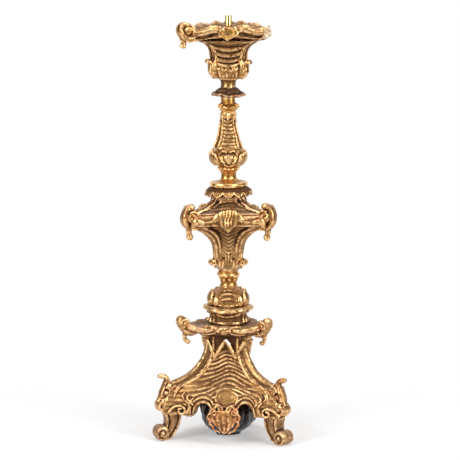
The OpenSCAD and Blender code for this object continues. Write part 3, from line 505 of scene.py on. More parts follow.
KNEE_SEAT_R, NECK_CORNER_R, CONSOLE_HALF_W, CONSOLE_T = 92, 30, 9, 8.5
KNEE_HALF_W = CONSOLE_HALF_W + 1.5
KNEE_FACE_R, KNEE_T = KNEE_SEAT_R + 12, 18
FLARE_H, ARC_END = 61, 80
APRON_H, APRON_FLARE, APRON_T, LAP = 43, 10, 8, 5
ARCH_H, ARCH_HALF_W, ARCH_OFFSET, APRON_SHIFT = 20, 14, 33, 5
PLATFORM_R, RIM_R, TRAY_R, SEAT_W = 68, 66, 66, 8
WAIST_R, NECK_R, LOW_NECK_R = 22, 11.6, 13.5

arc_sin, arc_cos = math.sin(math.radians(ARC_END)), math.cos(math.radians(ARC_END))
arc_r = KNEE_SEAT_R + (KNEE_SEAT_R - NECK_CORNER_R) * arc_cos / (1 - arc_cos)
arc_a, arc_b = arc_r - NECK_CORNER_R, FLARE_H / arc_sin
flare_top = core_low + FLARE_H


def seat_r(z):
    """Distance of the pedestal's corner seat from the axis at height z"""
    return arc_r - arc_a * np.sqrt(1 - np.clip((flare_top - z) / arc_b, 0, arc_sin) ** 2)


def flare_angle(z):
    return np.degrees(np.arcsin(np.clip((flare_top - z) / arc_b, 0, 1)))


def seat_w(z):
    return np.interp(flare_angle(z), [0, 20, ARC_END], [CONSOLE_HALF_W, CONSOLE_HALF_W - 2, KNEE_HALF_W])


def apron_f(z):
    return face_distance(KNEE_SEAT_R, KNEE_HALF_W) + APRON_FLARE * (1 - ((z - foot_high) / APRON_H) ** 2)


# ---------------------------------------------------------------- pedestal
SHOULDER = 2.6
RIPPLE_PITCH, RIPPLE_D, RIPPLE_SHARP = 7.0, 2.4, 1.35


def face_ripples(s, z):
    """Ripples over a face of the pedestal and its apron, from 0 to 1. They climb in an ogee to a peak."""
    low = 1 - ramp(z, core_low - 12, flare_top)
    rise = (6 + 15 * low) * hill(s, 1 + 11 * low, 11 + 21 * low)
    return waves((z - rise + 1.5) / RIPPLE_PITCH, RIPPLE_SHARP)


def shoulder(z):
    """How far the edge between the pedestal and its aprons is rounded off"""
    return SHOULDER * np.where(z < core_low, ramp(z, core_low - 16, core_low),
                               1 - ramp(z, core_low, core_low + 7))


def core_shape(t, angle):
    z = core_low + (platform_low - core_low) * t
    phi, psi = (np.radians(wrap(angle - a - BASE_TURN)) for a in (REAR, RIGHT_FACE))
    corner, half_w = seat_r(z), seat_w(z)
    face, half = face_distance(corner, half_w), face_half(corner, half_w)
    u = np.clip(face * np.tan(psi) / half, -1, 1)
    on = (1 - ramp(z, flare_top - 18, flare_top - 6)) * (1 - ramp(np.abs(u), 0.92, 1))
    neck = 4 * ramp(z, platform_low - 7, platform_low - 2) - 1.2 * ramp(z, flare_top - 16, flare_top - 6)
    r = soft_min(corner / np.cos(phi), face / np.cos(psi), 1.5)
    return r + RIPPLE_D * (face_ripples(u * half, z) - 0.5) * on + neck - shoulder(z), z


core = Carving()
core.turned(core_shape, 220, 300)
# painted shade: the top of the pedestal darkens under the platform
finish_piece("pedestal", core, gilt_base, "base_core", voxel=VOXEL,
             tone_and_shade=lambda p, n: 0.75 * ramp(p[:, 2], flare_top - 20, flare_top - 2))

CONSOLE_SECTION = [(0, 1.0), (0.3, 0.98), (0.5, 0.88), (0.64, 0.6), (0.78, 0.24), (1, 0.12)]

for place_name, a in BASE_CORNERS.items():
    console = Carving()
    z = np.append(np.linspace(foot_high + 0.2, core_low - 4, 14),
                  np.linspace(core_low, platform_low - 0.2, 60))
    on_knee = z < core_low
    inner = np.where(on_knee, KNEE_FACE_R - KNEE_T, seat_r(z) + 0.1)
    slope = np.clip((flare_top - z) / arc_b, 0, 0.98) * ~on_knee
    thick = np.where(on_knee, np.interp(z - core_low, [-19, -12, -4], [KNEE_T, KNEE_T - 1, KNEE_T - 4]),
                     np.interp(flare_angle(z), [35, ARC_END], [CONSOLE_T, CONSOLE_T * 0.62]))
    thick = thick + np.interp(platform_low - z, [0, 2.5, 6.5, 10], [6.5, 7.5, 5.5, 0])
    half = np.where(on_knee, KNEE_HALF_W - 0.8, seat_w(z) + 0.6)[:, None]
    s = np.linspace(-1, 1, 33)
    beads = np.interp(np.abs(s), *zip(*CONSOLE_SECTION))
    beads = thick[:, None] * np.where(z[:, None] < core_low - 2, 0.86 + 0.14 * beads, beads)
    z, inner, slope = z[:, None], inner[:, None], slope[:, None]
    front = around(a, inner + beads * np.sqrt(1 - slope**2), s * half, z + beads * slope)
    back = around(a, np.repeat(inner, 2, 1), np.array([1, -1]) * half, np.repeat(z, 2, 1))
    console.tube(np.concatenate([front, back], axis=1))
    for side in SIDES:
        # the bead where the console meets the face, which runs down over the end of the apron
        z = np.linspace(core_low + 1, flare_top + 12, 40)
        off = np.interp(z, [core_low, flare_top], [3.4, 1.6])
        bead = around(a, seat_r(z) - 1.73 * off + 0.9, side * (seat_w(z) + off + 1.2), z)
        tail = [around(a, KNEE_SEAT_R + f, side * s, core_low + z)
                for f, s, z in ((2.5, 17.5, -19), (0.5, 16.8, -11), (-3.5, 15.8, -4))]
        console.sweep(through(np.vstack([*tail, bead]), 70), [(0, 1.2), (0.1, 2.5), (1, 2.1)], 2.2, side_of(a))
    # painted shade in the valley beside each bead and under the platform
    finish_piece("pilaster_" + place_name, console, gilt_base, "console_" + place_name, rough=0.3,
                 tone_and_shade=lambda p, n: 0.85 * hill(np.abs(p[:, :2] @ side_of(a)[:2]), CONSOLE_HALF_W - 0.6, 1.4)
                 + 0.5 * ramp(p[:, 2], platform_low - 7, platform_low - 2))

    knee = Carving()
    k, z = KNEE_FACE_R, foot_high
    knee.volute(a, (k + 5, z + 11.6), 9.4, 9.2, 100, -1.2, 2.0)
    knee.scroll(a, at(k, z, [(9.5, 17), (4.5, 25), (1, 34), (-2.4, 43), (-4, 50), (-1.5, 55.5), (4, 57.6)]),
                [(0, 5), (0.2, 6.6), (0.5, 5.8), (0.7, 4.4), (0.85, 4), (1, 4.6)],
                [(0, 7), (0.25, 7.6), (0.5, 6.4), (0.75, 5), (1, 6)])
    knee.ball(a, k + 5.5, 0, z + 57.6, 5.8, (1.1, 1, 0.8))
    knee.scroll(a, at(k, z, [(-1, 16), (-3.5, 26), (-5, 36), (-8, 45)]), [(0, 7), (0.6, 7.4), (1, 5)], 8, 24)
    for side in SIDES:
        for bow, size, s in (([(8, 21), (1, 23), (-5, 30), (-5.5, 38), (0, 41)], 2.3, 8.2),
                             ([(7, 26), (5.5, 33), (1.6, 40), (-0.6, 48)], 1.7, 6.2),
                             ([(-2, 44), (-8, 40), (-11, 30), (-9, 18), (-2, 5)], 2.4, 8.2)):
            knee.rib(a, side * s, at(k, z, bow), size * 0.9, size, 26)
        knee.ball(a, k - 1, side * 7.2, z + 32, 3.4)
        knee.ball(a, k - 6, side * 6.6, z + 44, 3.0)
    finish_piece("knee_" + place_name, knee, gilt_knee, "knee_scroll_" + place_name, rough=0.4)

    foot = Carving()
    k, h = KNEE_FACE_R - 10, foot_high
    leg = through(at(k, 0, [(-1, 1), (-2, 0.74), (0.5, 0.46), (7, 0.22), (17, 0.13)], (1, h)), 40)
    foot.rib(a, 0.0, leg - (1, 0), [(0, 12.5), (0.4, 10.2), (0.75, 6.6), (1, 4.4)],
             [(0, 10.5), (0.5, 8.4), (1, 9.2)], sides=14)
    for edge in SIDES:
        rim = beside(leg, edge * np.interp(np.linspace(0, 1, 40), [0, 0.4, 1], [11, 9.2, 4.4]))
        foot.rib(a, 0.0, rim, 2.9, [(0, 12.5), (0.5, 10.2), (1, 11)], sides=10)
    foot.volute(a, (k + 16, h * 0.275), 11.6, 11.9, -100, 1.2, 1.4)
    # the sole is flat on the floor
    foot.points = [np.maximum(p, [-np.inf, -np.inf, 0.3]) for p in foot.points]
    finish_piece("scroll_foot_" + place_name, foot, gilt_foot, "foot_" + place_name, rough=0.4)

# ---------------------------------------------------------------- aprons and their shells
OVAL_S, OVAL_Z, OVAL_W, OVAL_H = 8.4, 28, 15.5, 11.5
SHELL_S, SHELL_TOP, SHELL_H = 6.5, 10, 35
EYE_S, EYE_Z = 67, 7
CRACK_S = -44.6
SHELL_HALF = [(0, 16), (0.12, 22.5), (0.28, 24.5), (0.44, 21.4), (0.56, 21.8), (0.68, 17.8), (0.82, 15.6),
              (0.92, 11), (1, 8)]
SHELL_RIM = [(15, -1), (22, -4.4), (24.4, -10), (21, -15.4), (21.6, -20), (17.4, -24), (15.4, -28.6),
             (10, -30.6), (6, -34)]


def corner_s(f):
    """Half of the length of an apron at distance f from the axis"""
    return f * TAN60 - 2 * (KNEE_HALF_W + 0.4)


for place_name, a in BASE_FACES.items():
    apron = Carving()
    u = np.linspace(-1, 1, 181)
    s = u * corner_s(apron_f(foot_high)) - APRON_SHIFT
    gap = np.abs(np.abs(s) - ARCH_OFFSET) / ARCH_HALF_W
    bottom = np.where(gap < 1, ARCH_H * np.sqrt(np.clip(1 - gap**2, 0, 1)), 0)
    bottom = np.where(np.abs(s) < ARCH_OFFSET - ARCH_HALF_W, 7 - 3 * np.cos(s / 3.2), bottom)[:, None]
    z = foot_high + bottom + (APRON_H + LAP - bottom) * np.linspace(0, 1, 62)
    # above its own top the board lies on the pedestal and runs out
    laps, u = z > core_low, u[:, None]
    lap_f = face_distance(seat_r(z), seat_w(z)) + 0.3 - 0.25 * (z - core_low)
    f = np.where(laps, lap_f, apron_f(z)) - shoulder(z)
    s = u * np.where(laps, face_half(seat_r(z), seat_w(z)), corner_s(f))
    off = np.abs(s - APRON_SHIFT)
    from_arch = (np.hypot((off - ARCH_OFFSET) / ARCH_HALF_W, (z - foot_high) / ARCH_H) - 1) * 15
    near = 1 - ramp(from_arch, 8, 13)
    moulding = 0.5 + 0.5 * np.cos(2 * math.pi * (from_arch - 1.8) / 4.9)
    oval = np.hypot((s - OVAL_S) / OVAL_W, (z - foot_high - OVAL_Z) / OVAL_H)
    calm = 0.35 * ramp(off, 38, 58)
    carved = near * moulding + (1 - near) * (face_ripples(s, z) * (1 - 1.8 * calm) + calm)
    on = ramp(oval, 0.98, 1.3) * (1 - ramp(np.abs(u), 0.93, 0.99))
    relief = (RIPPLE_D * (carved - 0.5) * on + 1.4 * hill(oval, 1.1, 0.1)
              + 0.8 * np.sqrt(np.clip(1 - oval**2, 0, 1)))
    if place_name == "front":
        relief = relief - 2.4 * hill(s, CRACK_S, 0.9) * (1 - ramp(z, foot_high + 17, foot_high + 22))
    apron.board(a, s, z, f + relief, f - APRON_T)

    def strip(path, thick, wide, lift=1.0, count=28):
        """Bar over the apron's flared face, from points of (sideways place, height)"""
        p = through(path, count)
        z = foot_high + p[:, 1]
        apron.sweep(around(a, apron_f(z) + lift, p[:, 0], z), thick, wide, out_of(a))

    for side in SIDES:
        # volute at the lower corner with its stem, and leaves between the arch and the corner
        eye, turn = APRON_SHIFT + side * EYE_S, 90 - 30 * side
        strip(spiral((eye, EYE_Z), 8, 2.4, turn, turn + side * 420, 34), [(0, 1.4), (0.4, 2.4), (1, 2)], 2.6,
              1.6, 46)
        strip(at(eye, 0, [(-1, 15), (9, 13), (15, 8), (20, 3)], (side, 1)), 2.4, 2.6)
        strip(at(eye, 0, [(-8, 3), (-12, 9), (-13, 17), (-8, 23)], (side, 1)), [(0, 2.4), (1, 1.2)], 2.0, 0.6)
        for lean, up in ((14, 30), (6, 33), (20, 24)):
            strip(at(eye, up, [(-lean, -8), (4 - lean, -3), (-lean, 3)], (side, 1)),
                  [(0, 0.8), (0.5, 2.2), (1, 0.8)], 2.0, 0.4, 14)
        # leaf scrolls between the oval and the shell
        turn = 90 + 40 * side
        strip(spiral((SHELL_S + side * 11, 11.5), 5.2, 1.6, turn, turn - 400 * side, 26), 2.0, 2.4, 2.4)
        strip(at(SHELL_S, 0, [(17, 19), (11, 17.6), (5, 14), (2, 8)], (side, 1)),
              [(0, 1), (0.5, 2.4), (1, 1.6)], 2.4, 2.2)
    finish_piece("apron_board_" + place_name, apron, gilt_base, "apron_" + place_name, rough=0.3)

    pendant = Carving()
    top, f = foot_high + SHELL_TOP, apron_f(foot_high) + 1.0
    u, v = np.linspace(-1, 1, 81)[:, None], np.linspace(0, 1, 36)[None, :]
    lobes = waves(2.5 * u + 0.5, 1)
    s = SHELL_S + np.interp(v, *zip(*SHELL_HALF)) * u * (1 - 0.06 * (1 - lobes) * v)
    z = top - SHELL_H * (1 - 0.24 * u**2 - 0.07 * (1 - lobes)) * v
    flutes = 2.2 * (lobes ** 0.7 - 0.7) * ramp(v, 0.05, 0.4) * (0.75 + 0.25 * np.sin(5 * u + 1))
    swell = 3.5 * np.sin(math.pi * v * 0.75) * (1 - 0.6 * u**2) + 1.6 * ramp(v, 0.85, 1)
    pendant.board(a, s, z, f + 5.5 + swell + flutes, f + 1 + 3 * v + 0 * u)
    for side in SIDES:
        curl = spiral((SHELL_S + side * 15.5, top - 2), 6, 2, 90, 90 - side * 380, 28)
        pendant.trim(a, f + 6, curl, 2.0, 2.6, sides=10)
        pendant.trim(a, f + 6.6, at(SHELL_S, top, SHELL_RIM, (side, 1)), [(0, 1.4), (0.5, 1.8), (1, 1.2)],
                     2.2, 44, 10)
    finish_piece("shell_pendant_" + place_name, pendant, gilt_worn, "apron_shell_" + place_name,
                 slot="worn_giltwood", rough=0.8)

# ---------------------------------------------------------------- lambrequins
# points of (sideways place, distance, drop)
ZIGZAG = np.array([(-29.5, 27.6, 0), (-16.3, 27.4, -27), (1, 25.6, -1), (16.3, 27.4, -27), (29.5, 27.6, 0)])
CHIP_ENDS = np.array([(1.0, 29.6, 1), (8.2, 30.1, -8)])
zig_top = flare_top + 8

drapes = Carving()
for a in BASE_FACES.values():
    for ends in zip(ZIGZAG, ZIGZAG[1:]):
        s, f, z = np.linspace(*ends, 14).T
        drapes.sweep(around(a, f - 1.4, s, zig_top + z), 3.3, 3.9, out_of(a), 8)
        drapes.sweep(around(a, f + 1.0, s, zig_top + z), 1.1, 1.9, out_of(a), 6)
    for s, f, drop in ZIGZAG[1::2]:
        drapes.ball(a, f - 1, s, zig_top + drop - 0.5, 3.2)
finish_piece("lambrequin_bands", drapes, gilt_base, "lambrequins", rough=0.2)

chip, a = Carving(), BASE_FACES["front"]
s, f, z = np.linspace(*CHIP_ENDS, 6).T
chip.sweep(around(a, f, s, zig_top + z), 2.8, 1.1, out_of(a), 6)
finish_piece("bare_gesso_chip", chip, chalk, "lambrequins", rough=0.3, smooth=1)


# ---------------------------------------------------------------- platform
def tri_ring(corner, half_w, z, out=0.0, rise=0.0, turn=0, columns=45, round_off=0.8):
    """Ring of three flat corners and three faces. out and rise are given over the faces, u from -1 to 1."""
    u, v = np.linspace(-1, 1, columns + 2)[1:-1], np.linspace(-1, 1, 7)
    out, rise = (value(u) if callable(value) else value + 0 * u for value in (out, rise))
    rows = []
    for a in CORNERS.values():
        rows.append(around(a + turn, corner - round_off * np.abs(v) ** 3, v * half_w, z + 0 * v))
        rows.append(around(a + turn + 60, face_distance(corner, half_w) + out, face_half(corner, half_w) * u,
                           z + rise))
    return np.vstack(rows)


def serpentine(u):
    return np.cos(3 * math.pi * u) * (1 - u * u)


# rows of (t, share of the height, corner, face, wave of the face, rise of its middle)
SLAB = [(0, 0, -2, -9, 1.0, 0), (0.14, 0.1, -1, -8, 2, 0), (0.26, 0.2, -1, -4, 2.6, 0.1),
        (0.38, 0.36, 0, 0.5, 3, 0.3), (0.5, 0.6, 0.4, 3, 3.4, 0.6), (0.62, 0.86, 0, 2.6, 3.4, 0.9),
        (0.7, 0.98, -1.5, -0.5, 3, 1), (0.77, 0.96, -4, -4.5, 2.4, 0.7), (0.85, 0.86, -8, -8, 1.6, 0.2),
        (0.92, 0.84, -14, -6, 0.5, 0), (1, 0.84, -26, -2, 0, 0)]
slab, rows = Carving(), []
slab_low = span("platform")[0]
t_slab = span("socle")[0] - slab_low
for t in np.linspace(0, 1, 40):
    share, dr, b, v, lift = profile(SLAB, t)
    rows.append(tri_ring(PLATFORM_R + dr, SEAT_W + 0.5, slab_low + t_slab * share,
                         lambda u: b + v * serpentine(u) + 0.8 * np.sin(17 * u + 3 * t) * (1 - u**4),
                         lambda u: (0.8 * lift + 0.9 * np.sin(11 * u + 1)) * (1 - u * u), BASE_TURN))
slab.tube(rows)
edge_f = face_distance(PLATFORM_R, SEAT_W)
for a in BASE_FACES.values():
    for side in SIDES:
        # on each half a long leaf from the corner scroll, a shorter one towards the middle and a lip below
        for path, thick, wide, lift, count in (
                ([(1.0, 1.0), (0.86, 0.8), (0.66, 0.58), (0.45, 0.5), (0.3, 0.62)],
                 [(0, 4.4), (0.5, 4.4), (1, 2.6)], [(0, 4.6), (0.5, 4.8), (1, 3)], 0, 24),
                ([(0.5, 0.95), (0.34, 0.86), (0.2, 0.74), (0.1, 0.5)],
                 [(0, 1.4), (0.5, 2.6), (1, 1.6)], 2.8, -0.6, 24),
                ([(0.62, 0.2), (0.4, 0.12), (0.22, 0.24)], [(0, 1), (0.5, 2), (1, 1)], 2.2, -1.5, 16)):
            u, share = through(at(0, 0, path, (side, 1)), count).T
            u = np.clip(u, -1, 1)
            slab.sweep(around(a, edge_f + 2.4 + 3.4 * serpentine(u) + lift, face_half(PLATFORM_R, SEAT_W) * u,
                              slab_low + t_slab * share + 0.6 * (1 - u * u)), thick, wide, UP)
    for s, share, size in ((2.0, 0.42, 4.6), (-5.0, 0.56, 4.0), (8.5, 0.5, 3.6)):
        slab.ball(a, edge_f + 4.4, s, slab_low + t_slab * share + 0.6, size, (1.3, 1, 1))
# painted shade on the undersides; the tops are darker towards the rear
finish_piece("platform_slab", slab, gilt_platform, "platform", voxel=VOXEL, rough=0.5,
             tone_and_shade=lambda p, n: 0.5 * ramp(n[:, 2], 0.6, 0.95) * ramp(p[:, 1], -30, 30)
             + 0.6 * ramp(-n[:, 2], 0.5, 0.9))

for place_name, a in BASE_CORNERS.items():
    ear = Carving()
    r, z = PLATFORM_R, slab_low + t_slab / 2
    ear.scroll(a, at(r, z, [(-16, -5), (-8, -6), (0, -3), (7, 4), (12, 12), (11, 18), (5, 17)]),
               [(0, 4), (0.3, 6.6), (0.5, 6.2), (0.75, 4.4), (1, 3.4)],
               [(0, 6), (0.3, 8), (0.6, 8.4), (0.85, 7.6), (1, 5)])
    ear.volute(a, (r + 5.5, z + 9.5), 8.2, 7.6, 150, -1.2, 1.7)
    ear.scroll(a, at(r, z, [(2, -5), (3.5, -11), (2, -17), (-2, -20), (-5, -18)]),
               [(0, 4), (0.4, 3.2), (0.8, 3.4), (1, 2.2)], [(0, 4), (0.5, 3.6), (1, 3.4)], 24)
    for side in SIDES:
        ear.rib(a, side * 6.6, at(r, z, [(-14, -2), (-6, 0), (-1, 5), (-1.5, 12), (3, 18)]), 1.7, 2.2, 24)
    finish_piece("platform_ear_" + place_name, ear, gilt_base, "platform_scroll_" + place_name)

# ---------------------------------------------------------------- socle, lower collar, bulb, ring
plinth = Carving()
low, high = span("socle")
h = high - low
plinth.tube([tri_ring(r, 12.2, low + h * t, 1.5 - 1.2 * math.sin(math.pi * t), columns=31)
             for t, r in ((0, 29), (0.12, 29.2), (0.2, 27.4), (0.5, 26.4), (0.8, 27), (0.86, 29), (1, 29.2))])
for a in CORNERS.values():
    for side in SIDES:
        bend = at(-1.2, low, [(30.6, 0), (29.8, 0.2), (28, 0.5), (28.4, 0.75), (30, 0.98)], (1, h))
        plinth.sweep(around(a + side * 9, *np.insert(through(bend, 20), 1, 0, 1).T), 2.4, 2.8, side_of(a))
for a in FACES.values():
    s = np.linspace(-17, 17, 26)
    for level, arch, thick in ((0.12, 0.0, 2.8), (0.86, -0.2, 1.8)):
        z = low + h * (level + arch * (1 - (s / 17) ** 2))
        plinth.trim(a, lambda s: 29.4 - 0.012 * s**2, np.column_stack([s, z]), thick, thick, sides=10)
finish_piece("socle_block", plinth, gilt_base, "socle",
             tone_and_shade=lambda p, n: 0.7 * hill((p[:, 2] - low) / h, 0.5, 0.16)
             * (np.hypot(p[:, 0], p[:, 1]) < 29.6))

COLLAR_R = 39


def carve_collar(t, angle, r, z):
    on = ramp(t, 0.1, 0.4) * (1 - ramp(t, 0.7, 0.85))
    wave, wobble = cosd(3 * (angle - REAR)), 0.45 * sind(11 * angle + 40)
    return r + on * (0.6 * wave + wobble), z + on * (1.2 * wave + wobble)


COLLAR = [(0, COLLAR_R * 0.7, 0), (0.22, COLLAR_R * 0.88, 0.02), (0.34, COLLAR_R - 1.6, 0.16),
          (0.46, COLLAR_R, 0.44), (0.56, COLLAR_R - 0.8, 0.72), (0.64, COLLAR_R - 3.4, 0.94),
          (0.7, COLLAR_R - 6.4, 0.9), (0.84, COLLAR_R - 10, 1.02), (1, 8, 1.02)]
collar = turning("lower_collar", COLLAR, 70, 216, carve_collar)[0]
finish_piece("wavy_collar", collar, gilt_base, "lower_collar")

BULB_R = 30.5


def carve_bulb(t, angle, r, z):
    share = profile(BULB, t)[1]
    return r + 1.6 * cosd(3 * (angle - REAR)) * np.sin(math.pi * np.clip(share, 0, 1)), z


BULB = [(0, 6, 0), (0.1, BULB_R * 0.86, 0), (0.2, BULB_R, 0.08), (0.4, BULB_R, 0.34),
        (0.6, BULB_R * 0.88, 0.6), (0.75, BULB_R * 0.66, 0.8), (0.88, LOW_NECK_R + 1.5, 0.93),
        (0.94, LOW_NECK_R + 0.6, 1), (1, 4, 1)]
bulb, low, h = turning("leaf_bulb", BULB, 60, 150, carve_bulb)
for a in CORNERS.values():
    # an upright leaf on each corner, whose tip leans back against the bulb, with a fold on both sides
    bulb.leaf(a, at(0, low, [(0.98, 0.03), (1.08, 0.26), (1.06, 0.5), (0.97, 0.7), (0.9, 0.9)], (BULB_R, h)),
              8.0, 2.6, 3)
    for side in SIDES:
        bulb.leaf(a + side * 21, at(0, low, [(0.98, 0.04), (1.04, 0.24), (1.0, 0.44), (0.9, 0.58)],
                                    (BULB_R, h)), 4.6, 1.6, 2)
for a in FACES.values():
    # rolled folds on each face over a plain band
    for reach, level, arch, thick in ((15, 0.1, -0.04, 2.3), (12, 0.34, 0.1, 2.6), (11, 0.6, 0.08, 2.6),
                                      (7, 0.8, 0.04, 1.8)):
        s = np.linspace(-reach, reach, 24)
        level = level + arch * (1 - (s / reach) ** 2)
        base = np.interp(level, [0, 0.1, 0.34, 0.6, 0.8], BULB_R * np.array([0.9, 0.99, 0.99, 0.88, 0.68]))
        bulb.trim(a, lambda s: np.sqrt(base**2 - s**2) + 0.2, np.column_stack([s, low + h * level]),
                  [(0, 0.8), (0.5, thick), (1, 0.8)], [(0, 1.2), (0.5, 2.6), (1, 1.2)], sides=10)
finish_piece("leaf_bulb_carved", bulb, gilt, "leaf_bulb", rough=0.35)

RING = [(0, 4, 0), (0.06, LOW_NECK_R + 0.8, 0), (0.2, LOW_NECK_R - 1.5, 0.18), (0.38, LOW_NECK_R - 2.2, 0.36),
        (0.5, LOW_NECK_R - 1.2, 0.52), (0.56, 14.6, 0.58), (0.62, 16.2, 0.66), (0.7, 17.0, 0.77),
        (0.77, 16.2, 0.88), (0.82, 14.4, 0.94), (0.9, LOW_NECK_R + 1, 1), (1, 4, 1)]
ring, low, h = turning("ring_neck", RING, 60, 96)
for a in range(0, 360, 40):
    ring.rib(a, 0.0, at(0, low, [(13.4, 0.56), (13.2, 0.48), (12.8, 0.38), (12.6, 0.28)], (1, h)),
             [(0, 1), (0.6, 1.2), (1, 0.5)], [(0, 2.8), (0.6, 2.6), (1, 0.6)], 10)
finish_piece("ring_neck_turned", ring, gilt_smooth_painted_reflection, "ring_neck", rough=0.15)

# ---------------------------------------------------------------- knop
PANEL_EDGE, BAND_FROM, RIM_H = 0.68, 0.46, 31
PANEL_PITCH, PANEL_SAG, PANEL_D = 5.4, 9, 8.5
# rows of (share of the body's height, corner, width of the corner, crown of the face)
KNOP_FOOT = [(0, 12.6, 7.3, 1.9), (0.08, 16.5, 8.5, 2.3), (0.16, 20.5, 6.8, 4), (0.24, 21.6, 6.0, 3.4),
             (0.3, 22, 5.7, 2.2)]
knop_low, knop_high = span("knop_body")
rim_low = knop_high - RIM_H
body_h = rim_low - knop_low
waist_z = knop_low + body_h * 0.3
band_low = rim_low + RIM_H * BAND_FROM
rim_f, rim_half = face_distance(RIM_R, SEAT_W), face_half(RIM_R, SEAT_W)


def knop_r(z):
    return np.interp(z - rim_low, [-43, -31, -19, -12, -5.8, -0.5, 3.8, 8, 12, 14.3, 20],
                     [WAIST_R, 22.6, 24.2, 27.6, 32.3, 38, 44, 54, 62, 65, RIM_R])


def rib_w(z):
    return np.interp(z, [waist_z, band_low], [5.6, SEAT_W])


rows = []
for t in np.linspace(0, 0.3, 16, endpoint=False):
    corner, w, crown = profile(KNOP_FOOT, t)
    rows.append(tri_ring(corner, w, knop_low + body_h * t, lambda u: crown * (1 - u * u), columns=61,
                         round_off=0.4))
for z in np.linspace(waist_z, band_low - 1, 170):
    climb = (z - waist_z) / (band_low - waist_z)

    def panel(u):
        """Crown of the face, with a sunk and rippled panel in a raised frame"""
        inside = 1 - ramp(np.abs(u), PANEL_EDGE - 0.09, PANEL_EDGE)
        sag = PANEL_SAG * (1 - np.abs(u / PANEL_EDGE) ** 1.5)
        lines = 1.9 * waves((z - knop_low + sag) / PANEL_PITCH, 0.8)
        return (2 * (1 - ramp(climb, 0, 0.5)) * (1 - u * u)
                + inside * (lines * ramp(climb, 0.04, 0.16) - 1.2 - PANEL_D * ramp(climb, 0.15, 0.95))
                + 1.3 * hill(np.abs(u), PANEL_EDGE + 0.07, 0.05) * ramp(climb, 0.1, 0.3))

    rows.append(tri_ring(knop_r(z), rib_w(z), z, panel, columns=61, round_off=0.4))
for t, dr, b in ((0.0, 0, -7.5), (0.03, 0, 1.5), (0.12, 0, 3.4), (0.25, 0.2, 2.4), (0.5, 0.2, 2.2),
                 (0.72, 0.2, 2.6), (0.85, 0, 3.8), (0.95, -0.6, 3.2), (1, -2, 1)):
    rows.append(tri_ring(RIM_R + dr, SEAT_W, band_low + (knop_high - band_low) * t,
                         lambda u: b + 0.5 * np.sin(9 * u + 4 * t), columns=61, round_off=0.4))
knop = Carving()
knop.tube(rows)
for a in CORNERS.values():
    z = np.linspace(waist_z, band_low, 60)
    for side in SIDES:
        knop.sweep(around(a, knop_r(z) + 0.3, side * (rib_w(z) - 1.4), z), 1.8, 1.8, side_of(a))
    # leaf that climbs the outer side of the rib under the ear
    z = np.linspace(knop_low + body_h * 0.4, rim_low + 8, 7)
    knop.leaf(a, np.column_stack([knop_r(z) + 0.4, z]), 4.4, 1.4, 2)
for a in FACES.values():
    for s, high in ((-7, 0.34), (-3.6, 0.46), (0, 0.54), (3.6, 0.46), (7, 0.34)):
        t = np.linspace(0.04, high, 14)
        base = np.interp(t, [0, 0.08, 0.16, 0.3, 0.54], [16, 18.5, 18.2, 17.5, 18.2])
        knop.rib(a, s * np.linspace(1, 1.2, 14), np.column_stack([base + 0.6, knop_low + body_h * t]),
                 [(0, 1.2), (0.7, 1.8), (1, 0.6)], [(0, 1.7), (0.6, 2.0), (1, 0.6)])


def knop_tone(p, n):
    """Darker panels, from the middle of the body up to its band"""
    from_corner = np.abs(wrap(np.degrees(np.arctan2(p[:, 1], p[:, 0])) - REAR))
    z = p[:, 2]
    return (0.5 * (1 - ramp(60 - from_corner, 22, 34)) * ramp(z, knop_low + body_h * 0.5, rim_low)
            * (1 - ramp(z, band_low - 3, band_low)))


finish_piece("knop_carved", knop, gilt_base, "knop_body", voxel=VOXEL, rough=0.3, tone_and_shade=knop_tone)

